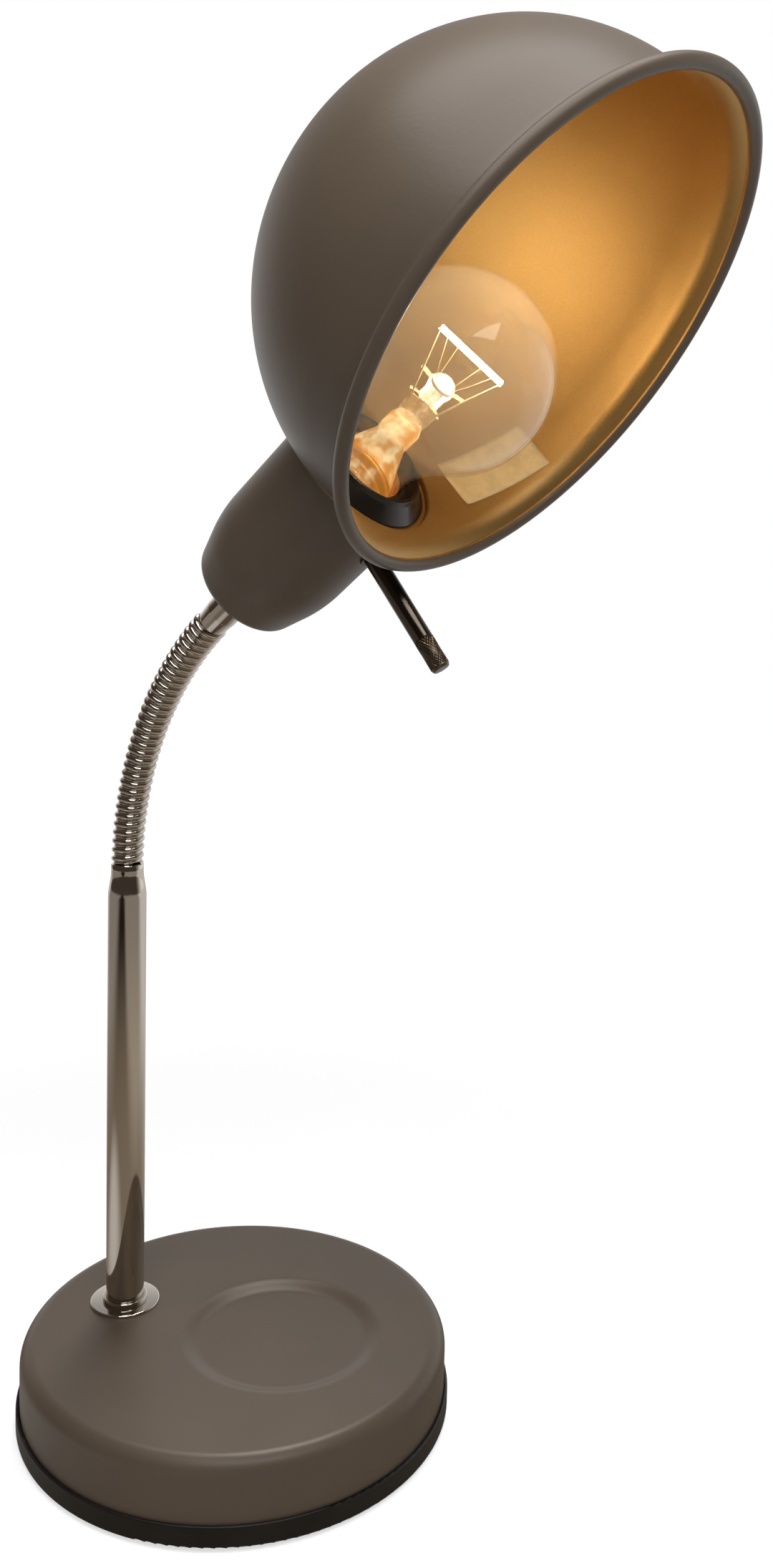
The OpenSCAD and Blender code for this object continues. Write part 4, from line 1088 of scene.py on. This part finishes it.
def sticker(name, middle_lon, middle_lat, wide, tall, slant):
    """A patch on the shade's inside: its middle in degrees round and up, its sizes in millimetres."""
    bm = bmesh.new()
    radius = SHADE_R - WALL - 0.12
    across, up_rows = 20, 12
    c, s = cos(radians(slant)), sin(radians(slant))
    rows = []
    for i in range(up_rows + 1):
        row = []
        for j in range(across + 1):
            u, v = (j / across - 0.5) * wide, (i / up_rows - 0.5) * tall
            lon = radians(middle_lon) + (u * c - v * s) / radius
            up = radians(middle_lat) * radius + u * s + v * c
            lift = 0.12 * (max(0, abs(2 * u / wide) - 0.9) + max(0, abs(2 * v / tall) - 0.85)) * 6
            r = radius - lift
            if up < 0:
                lat = up / radius
                p = Vector((r * cos(lat) * cos(lon), r * cos(lat) * sin(lon), r * sin(lat)))
            else:
                p = Vector((r * cos(lon), r * sin(lon), up))
            row.append(bm.verts.new(SHADE @ p))
        rows.append(row)
    for low, high in zip(rows, rows[1:]):
        for k in range(across):
            bm.faces.new([low[k], low[k + 1], high[k + 1], high[k]])
    patch = mesh_object(name, bm)
    thick = patch.modifiers.new("paper", "SOLIDIFY")
    thick.thickness = 0.00008
    thick.offset = 0
    return patch


label = sticker("blank_sticker", 38.9, -1.35, 33.0, 18.6, 9.0)
dress(label, "head", "white_plastic", paper)
print("sticker has", len(label.data.polygons), "faces")

# %% [markdown]
# ## The nodes that stay as they are
# Tray, pad, gland, weight, screws, nuts, leads and the lampholder's inner pieces keep their CAD shapes
# and only get their finishes.

# %% Dress the other nodes
for material, names in {
    ring_black: ["bottom_tray", "cord_gland"],
    foam: ["foot_pad"],
    zinc: ["tray_screws", "base_nipple", "base_washer", "base_nut", "cup_nut", "clamp_washer", "clamp_screws"],
    cast_iron: ["base_weight"],
    brass: [
        "stem_bush", "screw_shell", "centre_contact", "side_contact", "holder_screws", "terminal_screws",
    ],
    block_white: ["cord_clamp", "terminal_block", "switch_rotor"],
    holder_black: ["holder_base", "contact_carrier", "switch_case", "rod_bush", "tip_contact"],
    sheath: ["stem_lead", "head_lead"],
}.items():
    for name in names:
        material_of(frame["nodes"][name], material)
print("dressed", len(frame["nodes"]), "CAD nodes")

# %% [markdown]
# ## Floor, world and lamps
# The lamp stands on a plain pale floor in soft light. Camera and transmission rays see floor and world
# as white, so the background is white, also through the glass. Glossy rays see white behind the lamp,
# and in front of it a dim, brownish room over a floor painted with light and shade for them alone, a
# painted reflection that the chrome mirrors.
# All other rays get a calm grey from the world and what the lamps leave on the floor.

# %% Floor and world
AMBIENT, ROOM = 0.22, 0.07
WHITE = (1, 1, 1, 1)
LIGHT_POOL_AT = (-0.15, -0.1, 0)


def ray_kinds(tree):
    """Whether a ray comes from the camera, from a glossy surface or through glass."""
    kinds = ("Is Camera Ray", "Is Glossy Ray", "Is Transmission Ray")
    rays = tree.nodes.new("ShaderNodeLightPath")
    return [Signal(tree, rays.outputs[kind]) for kind in kinds]


bpy.ops.mesh.primitive_plane_add(size=6, location=(0, 0, -0.0005))
floor = bpy.context.object
floor.name = "floor"
pale, tree, shader = finish(
    "pale_floor", Roughness=0.9, Specular_IOR_Level=0.1, Base_Color=(0.86, 0.86, 0.86, 1),
)
camera_ray, glossy_ray, through_ray = ray_kinds(tree)
seen = (camera_ray + through_ray).clamped()
where = object_place(tree)
away = add(tree, "ShaderNodeVectorMath", {"operation": "LENGTH"}, output=1, In_0=where)
east, north = coordinate(tree, where, 0), coordinate(tree, where, 1)
from_light_pool = add(tree, "ShaderNodeVectorMath", {"operation": "DISTANCE"}, output=1, In_0=where, In_1=LIGHT_POOL_AT)

# What glossy rays see is a painted reflection of light and shade: brownish near the lamp and dark far
# from it, paler to both sides, white in a small painted pool of light beside the stem and behind the lamp.
painted_reflection = mixed(tree, away.span(0.1, 0.85), rgb(140, 128, 113), rgb(38, 30, 24))
for share, tone in [
    (0.4 * east.span(-0.2, -0.6), rgb(220, 212, 202)),
    (0.35 * east.span(0.08, 0.3), rgb(236, 226, 212)),
    (0.5 * from_light_pool.span(0.14, 0.03), WHITE),
    (0.6 * north.span(0.05, 0.45), WHITE),
]:
    painted_reflection = mixed(tree, share, painted_reflection, tone)

# What the camera sees: the lit floor, lifted to white, with the lamp's shadow left in it near the base.
lift = mixed(tree, away.span(0.25, 0.9), (0.6, 0.6, 0.6, 1), WHITE)
shine = add(tree, "ShaderNodeEmission", Color=lift, Strength=1.0)
plain_floor = Signal(tree, shader.outputs[0])
lit = add(tree, "ShaderNodeAddShader", In_0=plain_floor, In_1=shine)
show = add(tree, "ShaderNodeMixShader", In_0=seen, In_1=plain_floor, In_2=lit)
painted_reflection_emission = add(tree, "ShaderNodeEmission", Color=painted_reflection, Strength=1.0)
whole = add(tree, "ShaderNodeMixShader", In_0=glossy_ray, In_1=show, In_2=painted_reflection_emission)
tree.links.new(whole.socket, tree.nodes["Material Output"].inputs["Surface"])
material_of(floor, pale)

world = bpy.data.worlds.new("studio")
bpy.context.scene.world = world
world.use_nodes = True
tree = world.node_tree
camera_ray, glossy_ray, through_ray = ray_kinds(tree)
seen = (camera_ray + through_ray).clamped()
heading = add(tree, "ShaderNodeTexCoord", output=0)
behind = coordinate(tree, heading, 1).span(-0.1, 0.75)
overhead = coordinate(tree, heading, 2).span(0.25, 0.6)
studio = ROOM + (1 - ROOM) * behind * (1.0 - 0.65 * overhead)
tint = mixed(tree, ((1.0 - behind) * glossy_ray).clamped(), WHITE, rgb(236, 214, 190))
strength = AMBIENT + (1 - AMBIENT) * seen + glossy_ray * (studio - AMBIENT)
backdrop = add(tree, "ShaderNodeBackground", Color=tint, Strength=strength)
tree.links.new(backdrop.socket, tree.nodes["World Output"].inputs["Surface"])
print("floor and world ready")

# %% Studio lamps and the bulb's light


def soft_lamp(name, where, aim, size, watts, colour=(1, 1, 1)):
    """A rectangular lamp at one point that looks at another; places and sizes in metres."""
    data = bpy.data.lights.new(name, "AREA")
    data.shape = "RECTANGLE"
    data.size, data.size_y = size
    data.energy = watts
    data.color = colour
    lamp = linked(name, data)
    turn = (Vector(aim) - Vector(where)).to_track_quat("-Z", "Y").to_matrix()
    lamp.matrix_world = Matrix.Translation(where) @ turn.to_4x4()
    return lamp


soft_lamp("key", (0.17, -0.22, 0.7), (0.1, -0.07, 0.4), (0.5, 0.5), 2.55)
back = soft_lamp("back", (-0.1, 0.42, 0.95), (0.0, -0.1, 0.02), (0.3, 0.22), 0.11, (1.0, 0.94, 0.86))
back.data.spread = radians(20)
front = soft_lamp("front", (0.4, -1.3, 0.7), (0.0, 0, 0.2), (1.0, 1.0), 2.9)
front.visible_glossy = False

bulb_light = bpy.data.lights.new("bulb_light", "POINT")
bulb_light.energy = 0.058
bulb_light.color = (1.0, 0.92, 0.76)
bulb_light.shadow_soft_size = 0.006
glow_lamp = linked("bulb_light", bulb_light)
glow_lamp.location = HEAD @ Vector((0, 0, COIL_Z + 1.6))
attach(glow_lamp, "bulb")
print("lamps ready")
